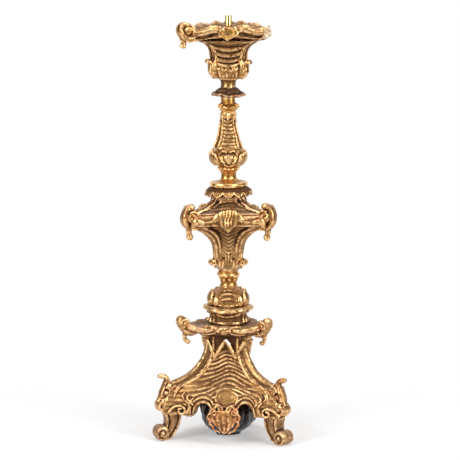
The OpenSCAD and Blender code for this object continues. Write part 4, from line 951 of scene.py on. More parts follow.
for place_name, a in CORNERS.items():
    volute = Carving()
    r, z = WAIST_R, waist_z
    volute.scroll(a, at(r, z, [(1, 10), (1.6, 3), (2.4, -3), (5, -7)]), 2.8, [(0, 3), (1, 5)], 20)
    volute.volute(a, (r + 6.2, z - 3.2), 5.4, 5.2, 200, 1.1, 1.3)
    finish_piece("knop_foot_volute_" + place_name, volute, gilt, "knop_volute_" + place_name)

    ear = Carving()
    r, z = RIM_R, rim_low
    bow = [(-12, 14), (-3, 12), (5, 13), (10, 19), (12, 28), (10, 36), (6, 42), (-0.5, 44), (-6, 41)]
    ear.scroll(a, at(r, z, bow), [(0, 4), (0.3, 4.6), (0.55, 4.4), (0.8, 4.8), (0.92, 5.2), (1, 3.4)],
               [(0, 5), (0.3, 6.2), (0.6, 6), (0.9, 7), (1, 4)])
    ear.scroll(a, at(r, z, [(-8, 20), (-3, 30), (1, 38), (2, 44)]), 6, [(0, 4), (0.6, 4.6), (1, 5.4)], 24)
    ear.volute(a, (r + 0.5, z + 27.5), 8.6, 5.4, 30, 1.3, 1.9)
    ear.scroll(a, at(r, z, [(-8, 13), (2, 17), (8, 24), (8, 33), (3, 39)]), 6.4, 3.6, 26)
    ear.scroll(a, at(r, z, [(2, 13), (4, 6), (3, 0), (2.4, -4)]), [(0, 5.6), (0.5, 4.2), (1, 4)],
               [(0, 6), (0.5, 4.4), (1, 4.4)], 24)
    ear.ball(a, r + 2.2, 0, z - 3.4, 5.6, (1, 1, 0.9))
    for side in SIDES:
        # leaf that turns from the banded rim into the ear
        f, s = through([(r - 16, 12), (r - 8, 10), (r - 1, 8.4), (r + 5, 6), (r + 8, 3)], 26).T
        climb = np.linspace(24, 33, 26) - 5 * np.sin(np.linspace(0, 3.1, 26))
        ear.sweep(around(a, f, side * s, z + climb), [(0, 1.6), (0.5, 3.2), (1, 2)],
                  [(0, 3), (0.5, 5.4), (1, 2.4)], UP, 12)
        bow = at(r - 0.8, z, [(-12, 9), (-3, 8), (6, 10), (13, 18), (15.6, 28), (13, 38), (7, 46)])
        ear.rib(a, side * 5.0, bow, 1.5, 1.9, 34)
        ear.ball(a, r + 5, side * 5.4, z + 43, 3.0)
        ear.rib(a, side * 5.6, at(r, z, [(-14, 27), (-9, 33), (-3, 37), (4, 36)]), 1.8, 2.2, 20)
        # leaf that rolls from the ear onto the face beside it
        roll = [(17, 1.6, 20), (10, 3.8, 23), (4, 4.8, 23), (-0.6, 3.2, 19), (-2.6, 0.4, 12)]
        s, f, up = through(roll, 26).T
        ear.sweep(around(a + side * 60, rim_f + f, -side * (rim_half - s), z + up),
                  [(0, 1), (0.5, 3), (1, 2)], [(0, 2.4), (0.5, 5.6), (1, 4)], UP, 12)
    finish_piece("knop_rim_ear_" + place_name, ear, gilt, "knop_ear_" + place_name, rough=0.4)

for place_name, a in FACES.items():
    crest = Carving()
    f, z = rim_f + 2.8, band_low
    u, v = np.linspace(-1, 1, 81)[:, None], np.linspace(0, 1, 31)[None, :]
    wing, lobes = ramp(np.abs(u), 0.45, 0.62), waves(2.5 * u + 0.5, 1)
    high = z + (26 - 1.6 * (1 - lobes)) * (1 - 0.42 * np.abs(u) ** 2.2)
    low = z + 9 * wing + (2 - 11 * np.clip(1 - 2 * np.abs(u), 0, 1) ** 1.2) * (1 - wing)
    swell = np.sin(math.pi * np.clip(0.16 + 0.72 * v, 0, 1)) ** 0.8
    grooves = 1.4 * (1 - lobes) * (0.3 + 0.7 * v) * (1 - 0.4 * wing)
    front = f + 0.8 + (7.4 - 4.6 * np.abs(u) ** 1.3) * swell - grooves
    crest.board(a, 24 * u + 0 * v, low + (high - low) * v, front, f - 1.4 + 0 * front)
    for s in (-4.6, 0.4, 5.2):
        crest.rib(a, s * np.linspace(1.1, 0.7, 18), at(f, z, [(5.4, 14.5), (8.6, 9), (8.4, 3), (4.6, -2.5)]),
                  [(0, 1.2), (0.5, 2.9), (1, 1)], [(0, 1), (0.5, 2.1), (1, 0.9)], 18, 10)
    for side in SIDES:
        crest.trim(a, f + 1.6, at(0, z, [(8, 17), (14, 15), (20, 10), (27, 8.4), (36, 8)], (side, 1)),
                   [(0, 2.2), (0.5, 2.6), (1, 1)], 2.6, 24, 10)
    finish_piece("cartouche_shell_" + place_name, crest, gilt, "cartouche_" + place_name)

# rows of (t, corner from the edge, its width, face, share of the height, rise of its middle)
ROOF_EDGE = RIM_R - 6
ROOF = [(0, 0, 8, -1, 0, 0), (0.06, 0.5, 8, 0, 0.03, 0), (0.12, -0.6, 8, -0.5, 0.08, 0),
        (0.17, -5, 8.2, -3, 0.11, 1), (0.24, -8, 8.6, -5.5, 0.13, 2.4), (0.28, -9, 8.8, -5, 0.2, 2.6),
        (0.33, -12, 9, -5, 0.22, 3.4), (0.4, -17, 9.4, -6, 0.25, 4.6), (0.44, -18, 9.6, -5.2, 0.32, 4.6),
        (0.5, -21, 10, -5, 0.34, 5), (0.58, -27, 11, -3.4, 0.4, 4.6), (0.64, -31, 12, -1.4, 0.5, 3.4),
        (0.7, -35, 12.6, 2, 0.6, 1.4), (0.76, -37, 12.8, 3.2, 0.68, 0), (0.84, -37.4, 12.8, 3, 0.78, 0),
        (0.88, -36.4, 12.9, 3.2, 0.84, 0), (0.93, -37.4, 12.8, 3, 0.9, 0), (1, -37.4, 12.8, 3, 1, 0)]
roof, rows = Carving(), []
low, high = span("knop_roof")
h = high - low
for t in np.linspace(0, 1, 80):
    dr, w, b, share, lift = profile(ROOF, t)
    rows.append(tri_ring(ROOF_EDGE + dr, w, low + h * share, b, lambda u: lift * (1 - u * u), columns=41))
roof.tube(rows)
hip = at(-0.6, low, [(60, 0.12), (52, 0.2), (42, 0.3), (34, 0.5), (26, 0.68), (23.4, 0.86)], (1, h))
for a in CORNERS.values():
    for side in SIDES:
        roof.rib(a, side * np.linspace(6.4, 4.4, 28), hip, 2.3, 2.5, 28, 10)
for a in FACES.values():
    arch = at(0, low, [(-14, 0.92), (-7, 0.82), (0, 0.78), (7, 0.82), (14, 0.92)], (1, h))
    roof.trim(a, 23, arch, 1.6, 2.0, 24)
    for s in (-6, 0, 6):
        roof.ball(a, 22.8, s, low + h * 0.7, 2.2)
finish_piece("knop_roof_stepped", roof, gilt_platform, "knop_roof", voxel=VOXEL, rough=0.5, smooth=5,
             tone_and_shade=lambda p, n: 0.4 * ramp(n[:, 2], 0.6, 0.95) * ramp(p[:, 1], -60, 20))

# ---------------------------------------------------------------- scalloped collar, disc, neck
SCALLOPS, SCALLOP_R = 13, 37.5


def carve_scallops(t, angle, r, z):
    wave = np.abs(cosd(SCALLOPS / 2 * (angle - FRONT_FACE)))
    on = ramp(t, 0.14, 0.3) * (1 - ramp(t, 0.7, 0.84))
    rim = ramp(t, 0.2, 0.3) * (1 - ramp(t, 0.46, 0.66))
    ribs = 0.9 * np.abs(sind(SCALLOPS * 2.5 * angle)) * ramp(t, 0.4, 0.48) * (1 - ramp(t, 0.66, 0.8))
    return r + on * 2.0 * (wave - 0.75) - ribs, z + rim * 5.6 * (0.62 - wave)


SCALLOP = [(0, 8, 0.02), (0.1, 24, 0.02), (0.2, 30, 0.14), (0.3, SCALLOP_R - 1.5, 0.1),
           (0.36, SCALLOP_R, 0.2), (0.42, SCALLOP_R - 0.4, 0.32), (0.54, SCALLOP_R * 0.94, 0.58),
           (0.7, SCALLOP_R * 0.85, 0.84), (0.84, SCALLOP_R * 0.76, 0.98), (1, 8, 1)]
scallops = turning("scalloped_collar", SCALLOP, 80, 390, carve_scallops)[0]
finish_piece("gadrooned_collar", scallops, gilt, "scalloped_collar", slot="worn_giltwood", smooth=1, rough=0.2,
             tone_and_shade=lambda p, n: 0.85 * ramp(n[:, 2], 0.1, 0.5)
             * (1 - ramp(np.hypot(p[:, 0], p[:, 1]), SCALLOP_R - 3.2, SCALLOP_R - 1.6)))

DISC = [(0, 4, 0), (0.1, 26, 0), (0.18, 28.2, 0.12), (0.26, 29.1, 0.34), (0.34, 28.2, 0.54), (0.4, 26, 0.62),
        (0.46, 24.4, 0.62), (0.52, 21.8, 0.64), (0.62, 17, 0.72), (0.74, NECK_R + 2.5, 0.9),
        (0.86, NECK_R + 1, 1), (1, 3, 1)]
disc = turning("turned_disc", DISC, 70, 120)[0]
finish_piece("turned_disc_gilt", disc, gilt_smooth_painted_reflection, "turned_disc", rough=0.12)

NECK = [(0, 3, 0), (0.08, NECK_R + 1, 0), (0.25, NECK_R - 0.2, 0.15), (0.45, NECK_R - 0.2, 0.4),
        (0.62, NECK_R + 1.6, 0.62), (0.72, NECK_R + 2.4, 0.7), (0.8, NECK_R + 3.2, 0.82),
        (0.9, NECK_R + 2.4, 1), (1, 3, 1)]
neck, low, h = turning("stem_neck", NECK, 50, 96)
for a in np.arange(0, 360, 22.5):
    neck.ball(a, NECK_R + 3.6, 0, low + h * 0.84, 2.4)
finish_piece("stem_neck_turned", neck, gilt_smooth_painted_reflection, "stem_neck", rough=0.12)

# ---------------------------------------------------------------- leaf cup, baluster, astragal, small collar
r = LEAF_CUP_R = 29
LEAF_CUP = [(0, 3, 0), (0.1, r * 0.52, 0), (0.22, r * 0.7, 0.1), (0.4, r * 0.86, 0.3), (0.55, r * 0.88, 0.5),
            (0.7, r * 0.8, 0.74), (0.8, r * 0.76, 0.92), (0.86, r * 0.68, 1), (1, 3, 1)]
leafy, low, h = turning("leaf_cup", LEAF_CUP, 60, 120)
for a in CORNERS.values():
    for shift, tall, wide in ((0, 1.0, 6.6), (-17, 0.8, 4.6), (17, 0.8, 4.6)):
        leafy.leaf(a + shift, at(0, low, [(0.7, 0.06), (0.9, 0.28), (0.97, 0.52), (0.95, 0.76 * tall),
                                          (0.99, tall)], (LEAF_CUP_R, h)), wide, 1.9, 2)
for a in FACES.values():
    # shell of five ribs between two hollows, under a broken curl
    for s in (-2, -1, 0, 1, 2):
        leafy.rib(a, s * np.linspace(1.2, 3.4, 14),
                  at(-0.5 * s * s, low, [(24.8, 0.22), (27.6, 0.42), (27.2, 0.6), (24.6, 0.7)], (1, h)),
                  [(0, 1), (0.6, 1.9), (1, 1.2)], [(0, 1), (0.7, 1.9), (1, 1.2)], 14)
    for side in SIDES:
        curl = at(0, low, [(2, 0.84), (7, 0.9), (12, 0.8), (13.4, 0.6), (11, 0.42), (6, 0.24)], (side, h))
        leafy.trim(a, lambda s: 25.6 - 0.035 * s**2, curl, 1.5, 1.9, 30)
    leafy.trim(a, 22.4, at(0, low, [(-7, 0.16), (-2, 0.1), (3, 0.12), (8, 0.18)], (1, h)), 1.6, 2.0, 18)
finish_piece("acanthus_cup", leafy, gilt, "leaf_cup", rough=0.35)

SHAFT_R, RIB_PITCH = 23, 5.7
low, high = span("baluster")
h = high - low


def shaft_r(t):
    return np.interp(t, [0, 0.1, 0.25, 0.5, 0.7, 1],
                     [SHAFT_R, SHAFT_R * 0.95, SHAFT_R * 0.78, SHAFT_R * 0.62, NECK_R + 0.6, NECK_R])


shaft, rows = Carving(), []
for t in np.linspace(0, 1, 150):
    r = shaft_r(t)
    on = ramp(t, 0.02, 0.08) * (1 - ramp(t, 0.84, 0.9))

    def ripple(u):
        bars = 2.3 * (waves((h * t + 1.2 * (1 - u * u)) / RIB_PITCH, 0.8) - 0.7)
        bars = bars * (1 - ramp(np.abs(u), 0.66, 0.8)) - hill(np.abs(u), 0.84, 0.07)
        return r * 0.14 * (1 - u * u) + on * bars

    rows.append(tri_ring(r * 0.94, r * 0.3, low + h * t, ripple, columns=41, round_off=0.4))
shaft.tube(rows)
t = np.linspace(0.02, 0.9, 50)
arris = np.column_stack([shaft_r(t) * 0.94 - 0.1, low + h * t])
for a in CORNERS.values():
    for side in SIDES:
        shaft.rib(a, side * shaft_r(t) * 0.27, arris, 1.4, 1.5)
for a in (*CORNERS.values(), *FACES.values()):
    shaft.leaf(a, at(NECK_R, low, [(-0.3, 0.99), (0.9, 0.94), (0.9, 0.86), (0.2, 0.78)], (1, h)), 3.0, 0.9, 1)
finish_piece("baluster_carved", shaft, gilt, "baluster")

r = ASTRAGAL_R = 16.2
ASTRAGAL = [(0, 3, 0), (0.08, NECK_R, 0), (0.16, NECK_R + 1.4, 0.1), (0.24, 14.6, 0.2), (0.32, r - 0.6, 0.28),
            (0.38, r - 0.2, 0.36), (0.46, r - 1.2, 0.46), (0.54, NECK_R + 1.2, 0.54), (0.64, NECK_R, 0.65),
            (0.9, NECK_R, 1), (1, 3, 1)]
knuckle, low, h = turning("astragal", ASTRAGAL, 60, 96, lambda t, angle, r, z: (r - 0.5, z))
for a in CORNERS.values():
    for side in SIDES:
        curl = spiral((ASTRAGAL_R - 2.4, low + h * 0.4), 3.4, 1.2, 150, -220, 20)
        knuckle.rib(a, side * 2.6, curl, 1.2, 1.8)
for a in FACES.values():
    knuckle.trim(a, lambda s: np.sqrt(ASTRAGAL_R**2 - s**2) - 0.8,
                 at(0, low, [(-8, 0.42), (-4, 0.33), (0, 0.3), (4, 0.33), (8, 0.42)], (1, h)), 1.5, 1.6, 16)
finish_piece("astragal_carved", knuckle, gilt_smooth_painted_reflection, "astragal", rough=0.12)

r = FRILL_R = 26.5


def carve_frill(t, angle, r, z):
    wave = cosd(8 * angle) + 0.4 * cosd(5 * angle + 50)
    on = ramp(t, 0.16, 0.36) * (1 - ramp(t, 0.6, 0.8))
    ribs = 0.8 * np.abs(sind(16 * angle)) * ramp(t, 0.48, 0.56) * (1 - ramp(t, 0.7, 0.82))
    return r + on * wave - ribs, z - on * wave


FRILL = [(0, 3, 0), (0.1, NECK_R + 1, 0.02), (0.24, r * 0.72, 0.08), (0.36, r - 2, 0.16),
         (0.42, r - 0.4, 0.28), (0.48, r - 0.8, 0.38), (0.55, r * 0.86, 0.46), (0.61, r * 0.75, 0.52),
         (0.66, r * 0.73, 0.62), (0.74, r * 0.66, 0.8), (0.82, NECK_R + 2, 0.94), (0.9, NECK_R + 1, 1),
         (1, 3, 1)]
frill = turning("small_collar", FRILL, 70, 200, carve_frill)[0]
finish_piece("wavy_small_collar", frill, gilt_dark, "small_collar", slot="worn_giltwood", smooth=1, rough=0.3,
             tone_and_shade=lambda p, n: 0.6 * ramp(n[:, 2], 0.3, 0.8)
             * (1 - ramp(np.hypot(p[:, 0], p[:, 1]), FRILL_R - 4, FRILL_R - 1)))

# ---------------------------------------------------------------- cup
BOWL_R, BAND_PITCH, BAND_SAG, BAND_D = 29.5, 8.6, 4.2, 4.6
bowl_low, bowl_high = span("cup")
h = bowl_high - bowl_low


def cup_r(t):
    return np.interp(t, [0.39, 0.5, 0.62, 0.74, 0.82, 0.88, 0.93, 0.96, 1],
                     [*(BOWL_R * np.array([1, 0.93, 0.87, 0.9, 0.98, 1.1, 1.28, 1.45])), 50])


def cup_w(t):
    return np.interp(t, [0.46, 1], [BOWL_R * 0.34, SEAT_W])


# round below, from (radius, share of the height), and three-sided above
BOWL_FOOT = [(NECK_R, 0), (NECK_R, 0.12), (NECK_R + 1, 0.15), (14.8, 0.172), (20, 0.185), (22.6, 0.2),
             (23.3, 0.215), (22.9, 0.232), (24.2, 0.25), (26.4, 0.28), (28.2, 0.32), (29.3, 0.37),
             (29.3, 0.42)]
bowl, rows = Carving(), []
for r, t in BOWL_FOOT:
    rows.append(tri_ring(r * COS30, r / 2, bowl_low + h * t, lambda u: r * (1 - COS30) * (1 - u * u),
                         columns=49, round_off=0))
for t in np.linspace(0.46, 0.995, 150):
    on = ramp(t, 0.47, 0.53) * (1 - ramp(t, 0.96, 0.99))

    def bands(u):
        swell = BAND_D * on * (waves((h * t + BAND_SAG * (1 - u * u) - 34) / BAND_PITCH, 0.7) - 0.8)
        return 3 * (1 - ramp(t, 0.46, 0.9)) * (1 - u * u) + swell * (1 - ramp(np.abs(u), 0.84, 0.96))

    rows.append(tri_ring(cup_r(t), cup_w(t), bowl_low + h * t, bands, columns=49, round_off=0.5))
bowl.tube(rows)
for a in CORNERS.values():
    t = np.linspace(0.48, 0.985, 60)
    r, z = cup_r(t), bowl_low + h * t
    bowl.rib(a, 0.0, np.column_stack([r - 0.3, z]), 1.4, 2.2)
    for side in SIDES:
        bowl.sweep(around(a, r + 0.2, side * (cup_w(t) - 1), z), 1.9, 1.7, side_of(a))
        # leaf folds that wrap the shoulder on both sides of the corner scroll
        for wide, out in ((7.6, -0.8), (11, -3.8)):
            fold = [(0.9, 0.6), (1.0, 0.54), (1.05, 0.45), (1.01, 0.36), (0.9, 0.27), (0.8, 0.22)]
            bowl.rib(a, side * wide * np.linspace(1, 0.66, 24), at(out, bowl_low, fold, (BOWL_R, h)),
                     [(0, 1.6), (0.4, 2.8), (1, 1.4)], [(0, 1.8), (0.4, 2.8), (1, 1.6)], 24, 10)
for a in FACES.values():
    for s, z, size in ((-14, 33.6, 3.8), (-6, 32, 4.2), (2.4, 31.4, 4.2), (10.6, 32.4, 3.8)):
        curl = spiral((s, bowl_low + z), size, 1.6, 150, -180, 24)
        bowl.trim(a, lambda s: 28.6 - 0.02 * s**2, curl, 1.6, 1.9)
    swag = at(0, bowl_low, [(-16, 40), (-10, 38.4), (-4, 37.2), (3, 36.8), (10, 38), (16, 40)])
    bowl.trim(a, lambda s: 29 - 0.018 * s**2, swag, 1.7, 2.2, 30)
    for s in np.arange(-12, 13, 4.8):
        flute = at(-0.02 * s * s, bowl_low, [(27.4, 0.36), (28.2, 0.31), (26.6, 0.25)], (1, h))
        bowl.rib(a, s, flute, 1.4, 1.9, 10)
# painted shade on the downward faces of the banded bowl
finish_piece("cup_banded", bowl, gilt, "cup", voxel=VOXEL, rough=0.3,
             tone_and_shade=lambda p, n: 0.7 * ramp(-n[:, 2], 0.2, 0.8) * ramp(p[:, 2], bowl_low + h * 0.55, bowl_high))

for place_name, a in CORNERS.items():
    scroll = Carving()
    r, z = BOWL_R, bowl_low + h * 0.47
    # the shoulder scroll hugs the bowl below and curls out into a knob above
    bow = [(-6, -19), (-1.4, -15), (2, -9), (2, -3), (0.6, 2), (2.6, 6), (7, 7.4), (9, 4)]
    scroll.scroll(a, at(r, z, bow), [(0, 2), (0.3, 3.4), (0.6, 3.6), (0.85, 3), (1, 2.4)],
                  [(0, 3), (0.3, 5.4), (0.6, 6), (1, 4.4)])
    for side in SIDES:
        scroll.ball(a, r + 7.4, side * 3.8, z + 5.6, 2.5)
        scroll.rib(a, side * 6.0, spiral((r - 1.4, z - 6), 5.4, 1.6, 100, 520, 30), 1.5, 2.2)
        scroll.rib(a, side * 3.4, at(r, z, [(-4, -17), (3.6, -9), (3, -1), (4.6, 6), (9, 8.4)]), 1.3, 1.5, 20)
    finish_piece("cup_shoulder_scroll_" + place_name, scroll, gilt, "cup_scroll_" + place_name, rough=0.35)

# ---------------------------------------------------------------- tray
EDGE_WAVE, EDGE_RISE = 5.0, 2.0
NOTCH_D, NOTCH_H, NOTCH_W = 4, 5, 0.05
# rows of (t, share of the height, corner, face, wave of the face, rise)
TRAY = [(0, 0, -8, -30, -2, 0), (0.1, 0.03, -5, -18, -4, 0.3), (0.18, 0.1, -3, -10, -4, 0.5),
        (0.26, 0.2, -1.5, -6, -4, 0.7), (0.32, 0.3, -1, -5.4, -3, 0.9), (0.36, 0.38, -0.6, -5, -2, 0.9),
        (0.4, 0.44, 0, -2, 0, 1), (0.46, 0.56, 0, 0.6, 0.8, 1), (0.52, 0.72, 0, 1.6, 1, 1),
        (0.58, 0.9, 0, 0.8, 1, 1), (0.64, 1.04, -0.8, -1.4, 0.6, 1), (0.69, 1.08, -2, -4, 0, 1),
        (0.74, 1.0, -4, -7.4, -3, 0.8), (0.8, 0.95, -8, -10, -4, 0.3), (0.9, 0.94, -20, -6, 0, 0),
        (1, 0.94, -34, 0, 0, 0)]
tray_low, t_tray = bowl_high, tray_flat - bowl_high
tray_f, tray_half = face_distance(TRAY_R, SEAT_W), face_half(TRAY_R, SEAT_W)


def edge_wave(u):
    """How far the rolled edge climbs along a face: low beside the corners, high towards the middle"""
    return EDGE_WAVE * hill(np.abs(u), 0.42, 0.27) + 1.5 * ramp(np.abs(u), 0.88, 1) - 1.5


top, rows = Carving(), []
for t in np.linspace(0, 1, 60):
    share, dr, b, v, lift = profile(TRAY, t)
    cut_in = NOTCH_D * ramp(t, 0.4, 0.5)
    cut_down = NOTCH_H * ramp(t, 0.5, 0.6) * (1 - ramp(t, 0.74, 0.8))
    rows.append(tri_ring(TRAY_R + dr, SEAT_W, tray_low + t_tray * share + EDGE_RISE * lift,
                         lambda u: b + v * serpentine(u) + 0.5 * np.sin(13 * u + 2) * (1 - u**4)
                         - cut_in * hill(u, 0, NOTCH_W),
                         lambda u: lift * edge_wave(u) - cut_down * hill(u, 0, NOTCH_W), columns=81))
top.tube(rows)
for a in FACES.values():
    for side in SIDES:
        # roll from the corner that ends in a curl beside the notch
        u = np.linspace(0.99, 0.24, 40)
        top.sweep(around(a, tray_f - 0.4 + 1.2 * serpentine(u), side * tray_half * u,
                         tray_low + t_tray * 0.76 + edge_wave(u)),
                  [(0, 4.6), (0.35, 5.0), (0.8, 4.6), (1, 3.8)], [(0, 4.4), (0.4, 5.2), (1, 4)], UP, 12)
        eye, turn = side * 8 + 1.2, 90 - side * 70
        curl = spiral((eye, tray_flat + 0.4), 6, 1.4, turn, turn - side * 440, 34)
        top.trim(a, lambda s: tray_f + 4.2 - 0.02 * s**2, curl, 2.0, 2.6, sides=10)
        top.ball(a, tray_f + 4.4, eye, tray_flat + 0.4, 2.2)
        # thin line under the roll
        u = np.linspace(0.96, 0.3, 30)
        top.sweep(around(a, tray_f - 4.6 + 0 * u, side * tray_half * u,
                         tray_low + t_tray * 0.2 + 0.7 * edge_wave(u)), 1.5, 1.6, UP, 8)


def tray_tone_and_shade(p, n):
    """Darker on the flat of the top, and painted shade on the underside"""
    flat = ramp(p[:, 2], tray_flat - 3, tray_flat - 1) * (1 - ramp(p[:, 2], tray_flat + 2.5, tray_flat + 4))
    return 0.7 * ramp(n[:, 2], 0.75, 0.97) * flat + 0.75 * ramp(-n[:, 2], 0.3, 0.9)


finish_piece("tray_carved", top, gilt, "tray", slot="worn_giltwood", voxel=VOXEL, rough=0.4, tone_and_shade=tray_tone_and_shade)

ear = Carving()
a, r, z = LEFT, TRAY_R - 2.5, tray_low
# hook that curls over at the top
ear.scroll(a, at(r, z, [(-8, 9), (3, 5), (12, 7), (18, 13), (20, 19), (18, 24.5), (11, 26), (3, 24)]),
           [(0, 6), (0.3, 5.4), (0.5, 4.4), (0.8, 4), (1, 3)],
           [(0, 7), (0.3, 7), (0.7, 6), (0.9, 6.4), (1, 4)])
ear.scroll(a, at(r, z, [(-4, 20), (2, 18), (8, 15), (13, 19), (12, 25)]), [(0, 5.4), (0.5, 5.6), (1, 4)],
           [(0, 6.4), (0.6, 5), (1, 3.4)], 26)
ear.volute(a, (r + 8, z + 17), 6.6, 5.2, 140, 0.8, 0.5)
ear.scroll(a, at(r, z, [(16, 11), (15, 4), (13, -2), (14, -6)]), [(0, 4.6), (0.5, 3.6), (1, 3.8)],
           [(0, 5), (0.5, 3.8), (1, 4)], 22)
ear.ball(a, r + 14.6, 0, z - 5.6, 5.0, (1.1, 1, 0.85))
for side in SIDES:
    ear.rib(a, side * 4.6, at(r - 0.8, z, [(-9, 4), (3, 0.6), (13, 3), (21, 11), (23, 18), (20, 26),
                                           (12, 28.6)]), 1.5, 1.8, 30)
    ear.ball(a, r + 19, side * 5.2, z + 23, 2.6)
finish_piece("tray_ear_whole", ear, gilt, "tray_ear_front_left", rough=0.4)

for place_name, a in (("front_right", RIGHT), ("rear", REAR)):
    # broken stub with a crumbled face
    stub = Carving()
    stub.scroll(a, at(TRAY_R, z, [(-3, 4), (-1, 8), (0.6, 13), (1.4, 18), (0.4, 23)]),
                [(0, 3), (0.25, 4.4), (0.75, 4.6), (1, 2.6)], [(0, 4.6), (0.3, 7.4), (0.75, 7.2), (1, 4.4)],
                30, 16)
    rng = np.random.default_rng(len(place_name))
    for k in range(26):
        stub.ball(a, TRAY_R + rng.uniform(1, 4.6), rng.uniform(-6, 6), z + rng.uniform(6, 23),
                  rng.uniform(1.0, 2.2))
    finish_piece("tray_stub_" + place_name, stub, gesso, "tray_ear_" + place_name, rough=0.8, smooth=1,
                 tone_and_shade=lambda p, n: 0.5 * ramp(noise(p, 4, 5), 0.55, 0.75))

TONGUE_HALF = [(0, 10), (0.15, 14.6), (0.3, 17), (0.5, 16), (0.65, 11.5), (0.8, 6.6), (0.92, 2.8), (1, 1)]
for place_name, a in FACES.items():
    tongue = Carving()
    u, v = np.linspace(-1, 1, 51)[:, None], np.linspace(0, 1, 36)[None, :]
    z = tray_flat + 3.6 - 21 * v - 1.5 * u**2 * (1 - v)
    s = -0.6 + np.interp(v, *zip(*TONGUE_HALF)) * u
    swell = 5.6 * np.sin(math.pi * (0.16 + 0.72 * v)) * (1 - 0.65 * u**2) + 0.9 * hill(np.abs(u), 0.86, 0.1)
    tongue.board(a, s, z, tray_f + 2.8 + swell, tray_f - 0.4 - 5 * v + 0 * u)
    finish_piece("rim_tongue_carved_" + place_name, tongue, gilt_smooth_painted_reflection, "rim_tongue_" + place_name, rough=0.3)

# ---------------------------------------------------------------- brass tube
TUBE_SIDES = 64
wall = [(4.6, tube_low), (4.6, tray_flat - 0.1), (5, tray_flat + 0.05), (5, tube_high - 0.3), (4.8, tube_high),
        (4.2, tube_high), (4.0, tube_high - 0.3), (4.0, tube_low)]
angle, n = np.linspace(0, 360, TUBE_SIDES, endpoint=False), TUBE_SIDES
points = np.vstack([around(angle, r, 0.0, z) for r, z in wall])
rings = list(range(len(wall)))
faces = [(j * n + i, j * n + (i + 1) % n, k * n + (i + 1) % n, k * n + i)
         for j, k in zip(rings, rings[1:] + [0]) for i in range(n)]
mesh = bpy.data.meshes.new("tube_brass")
mesh.from_pydata(points * MM, [], faces)
tube = add_object("tube_brass", mesh)
mesh.shade_smooth()
mesh.set_sharp_from_angle(angle=math.radians(40))
mesh.materials.append(brass)
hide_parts("brass_tube")
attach(tube, "root")

# ---------------------------------------------------------------- soft bag
BAG_R, BAG_NECK_H = 44, 11.5
BAG = [(0, 1, 0.0), (0.06, 0.2, 0.0), (0.14, 0.42, 0.03), (0.24, 0.7, 0.13), (0.36, 0.92, 0.26),
       (0.5, 0.97, 0.42), (0.62, 0.9, 0.56), (0.74, 0.72, 0.7), (0.84, 0.46, 0.84), (0.9, 0.24, 0.94),
       (0.94, 0.21, 1), (1, 0.2, 1)]
bag_low = span("ballast_bag")[0]


def bag_shape(t, angle):
    """Creased bag under the core, with a neck that is tied into it"""
    r, share = profile(BAG, t)
    r = np.where(t < 0.03, 0.1, r) * BAG_R
    z = bag_low + (core_low - bag_low) * share + BAG_NECK_H * np.clip((t - 0.93) / 0.07, 0, 1)
    z = z - 1.5 * sind(2 * angle + 40) * np.sin(math.pi * t)
    creases = (0.55 * np.abs(sind(2.5 * angle + 60 * np.sin(4 * t))) + 0.3
               * np.abs(sind(4.5 * angle + 140 * t)) + 0.25 * np.abs(sind(8 * angle - 220 * t)))
    fold = ramp(t, 0.05, 0.3) * (1 - ramp(t, 0.88, 0.94))
    lumps = 1 + fold * (0.15 * (creases - 0.6) + 0.03 * sind(3 * angle + 200) * np.sin(9 * t))
    return np.minimum(r * lumps, BAG_R * 1.03), z


bag = Carving()
bag.turned(bag_shape, 120, 220)
soft = finish_piece("wrapped_bag", bag, cloth, "ballast_bag", slot="bag_cloth", voxel=1.2, rough=1.2, smooth=1)


# ---------------------------------------------------------------- floor, backdrop, light
def sheet(name, corners, material):
    made = bpy.data.meshes.new(name)
    made.from_pydata(corners, [], [(0, 1, 2, 3)])
    made.materials.append(material)
    return add_object(name, made)


def any_ray(tree, first, *others):
    """1 for light on a path of one of the named kinds"""
    path = new_node(tree, "ShaderNodeLightPath")
    found = path.outputs[first]
    for kind in others:
        either = new_node(tree, "ShaderNodeMath", operation="MAXIMUM")
        tree.links.new(found, either.inputs[0])
        tree.links.new(path.outputs[kind], either.inputs[1])
        found = either.outputs[0]
    return found


# the paper looks white to the camera and in reflections, and is less bright near the stand
paper, tree, plain = new_material("paper", (0.9, 0.9, 0.9), Roughness=0.9, Specular_IOR_Level=0.1)
glow, blend = new_node(tree, "ShaderNodeEmission"), new_node(tree, "ShaderNodeMixShader")
radius, fade = new_node(tree, "ShaderNodeVectorMath", operation="LENGTH"), new_node(tree, "ShaderNodeMapRange")
strength = new_node(tree, "ShaderNodeMath", operation="MULTIPLY")
for key, value in (("From Min", 0.12), ("From Max", 0.55), ("To Min", 0.35), ("To Max", 1.0)):
    fade.inputs[key].default_value = value
for source, socket in ((new_node(tree, "ShaderNodeTexCoord").outputs["Object"], radius.inputs[0]),
                       (radius.outputs["Value"], fade.inputs["Value"]),
                       (any_ray(tree, "Is Camera Ray", "Is Glossy Ray"), strength.inputs[0]),
                       (fade.outputs["Result"], strength.inputs[1]), (strength.outputs[0], blend.inputs[0]),
                       (plain.outputs[0], blend.inputs[1]), (glow.outputs[0], blend.inputs[2]),
                       (blend.outputs[0], tree.nodes["Material Output"].inputs["Surface"])):
    tree.links.new(source, socket)
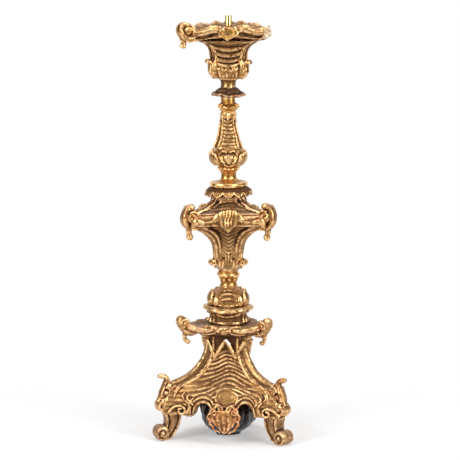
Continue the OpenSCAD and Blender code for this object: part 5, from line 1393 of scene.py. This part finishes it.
floor = sheet("floor", [(-30, -30, 0), (30, -30, 0), (30, 30, 0), (-30, 30, 0)], paper)

# white to the camera and in reflections, a softer fill for all other light
world = bpy.data.worlds.new("studio")
scene.world = world
world.use_nodes = True
tree = world.node_tree
tree.nodes.clear()
white, soft_fill = new_node(tree, "ShaderNodeBackground"), new_node(tree, "ShaderNodeBackground")
for background, strength in ((white, 1.0), (soft_fill, 0.55)):
    background.inputs["Color"].default_value = (1, 1, 1, 1)
    background.inputs["Strength"].default_value = strength
choose, end = new_node(tree, "ShaderNodeMixShader"), new_node(tree, "ShaderNodeOutputWorld")
for source, socket in ((any_ray(tree, "Is Camera Ray", "Is Transmission Ray", "Is Glossy Ray"),
                        choose.inputs[0]), (soft_fill.outputs[0], choose.inputs[1]),
                       (white.outputs[0], choose.inputs[2]), (choose.outputs[0], end.inputs["Surface"])):
    tree.links.new(source, socket)

LAMP_TARGET = np.array([0, 0, 0.3])


def softbox(name, place, width, height, watts):
    data = bpy.data.lights.new(name, "AREA")
    data.shape = "RECTANGLE"
    data.size, data.size_y, data.energy = width, height, watts
    obj = add_object(name, data)
    obj.location = place
    x, y, z = LAMP_TARGET - place
    obj.rotation_euler = (math.atan2(math.hypot(x, y), -z), 0, math.atan2(y, x) - math.pi / 2)


softbox("left_box", (-1.5, -1.4, 1.3), 0.7, 1.4, 26)
softbox("right_box", (1.5, -1.2, 1.2), 0.7, 1.4, 26)
softbox("top_box", (0, 0.2, 2.2), 1.4, 1.4, 14)

black = new_material("flag_black", (0.02, 0.018, 0.016))[0]


def flag(name, x0, y0, x1, y1):
    """Dark board on the camera's side of the studio, which only shows as a dark reflection in the gilding"""
    obj = sheet(name, [(x0, y0, -0.5), (x1, y1, -0.5), (x1, y1, 3.0), (x0, y0, 3.0)], black)
    obj.visible_camera = obj.visible_shadow = obj.visible_diffuse = False


flag("flag_front", -0.7, -2.0, 0.7, -2.0)
flag("flag_left", -2.0, -0.5, -2.0, 1.5)
flag("flag_right", 2.0, -0.5, 2.0, 1.5)
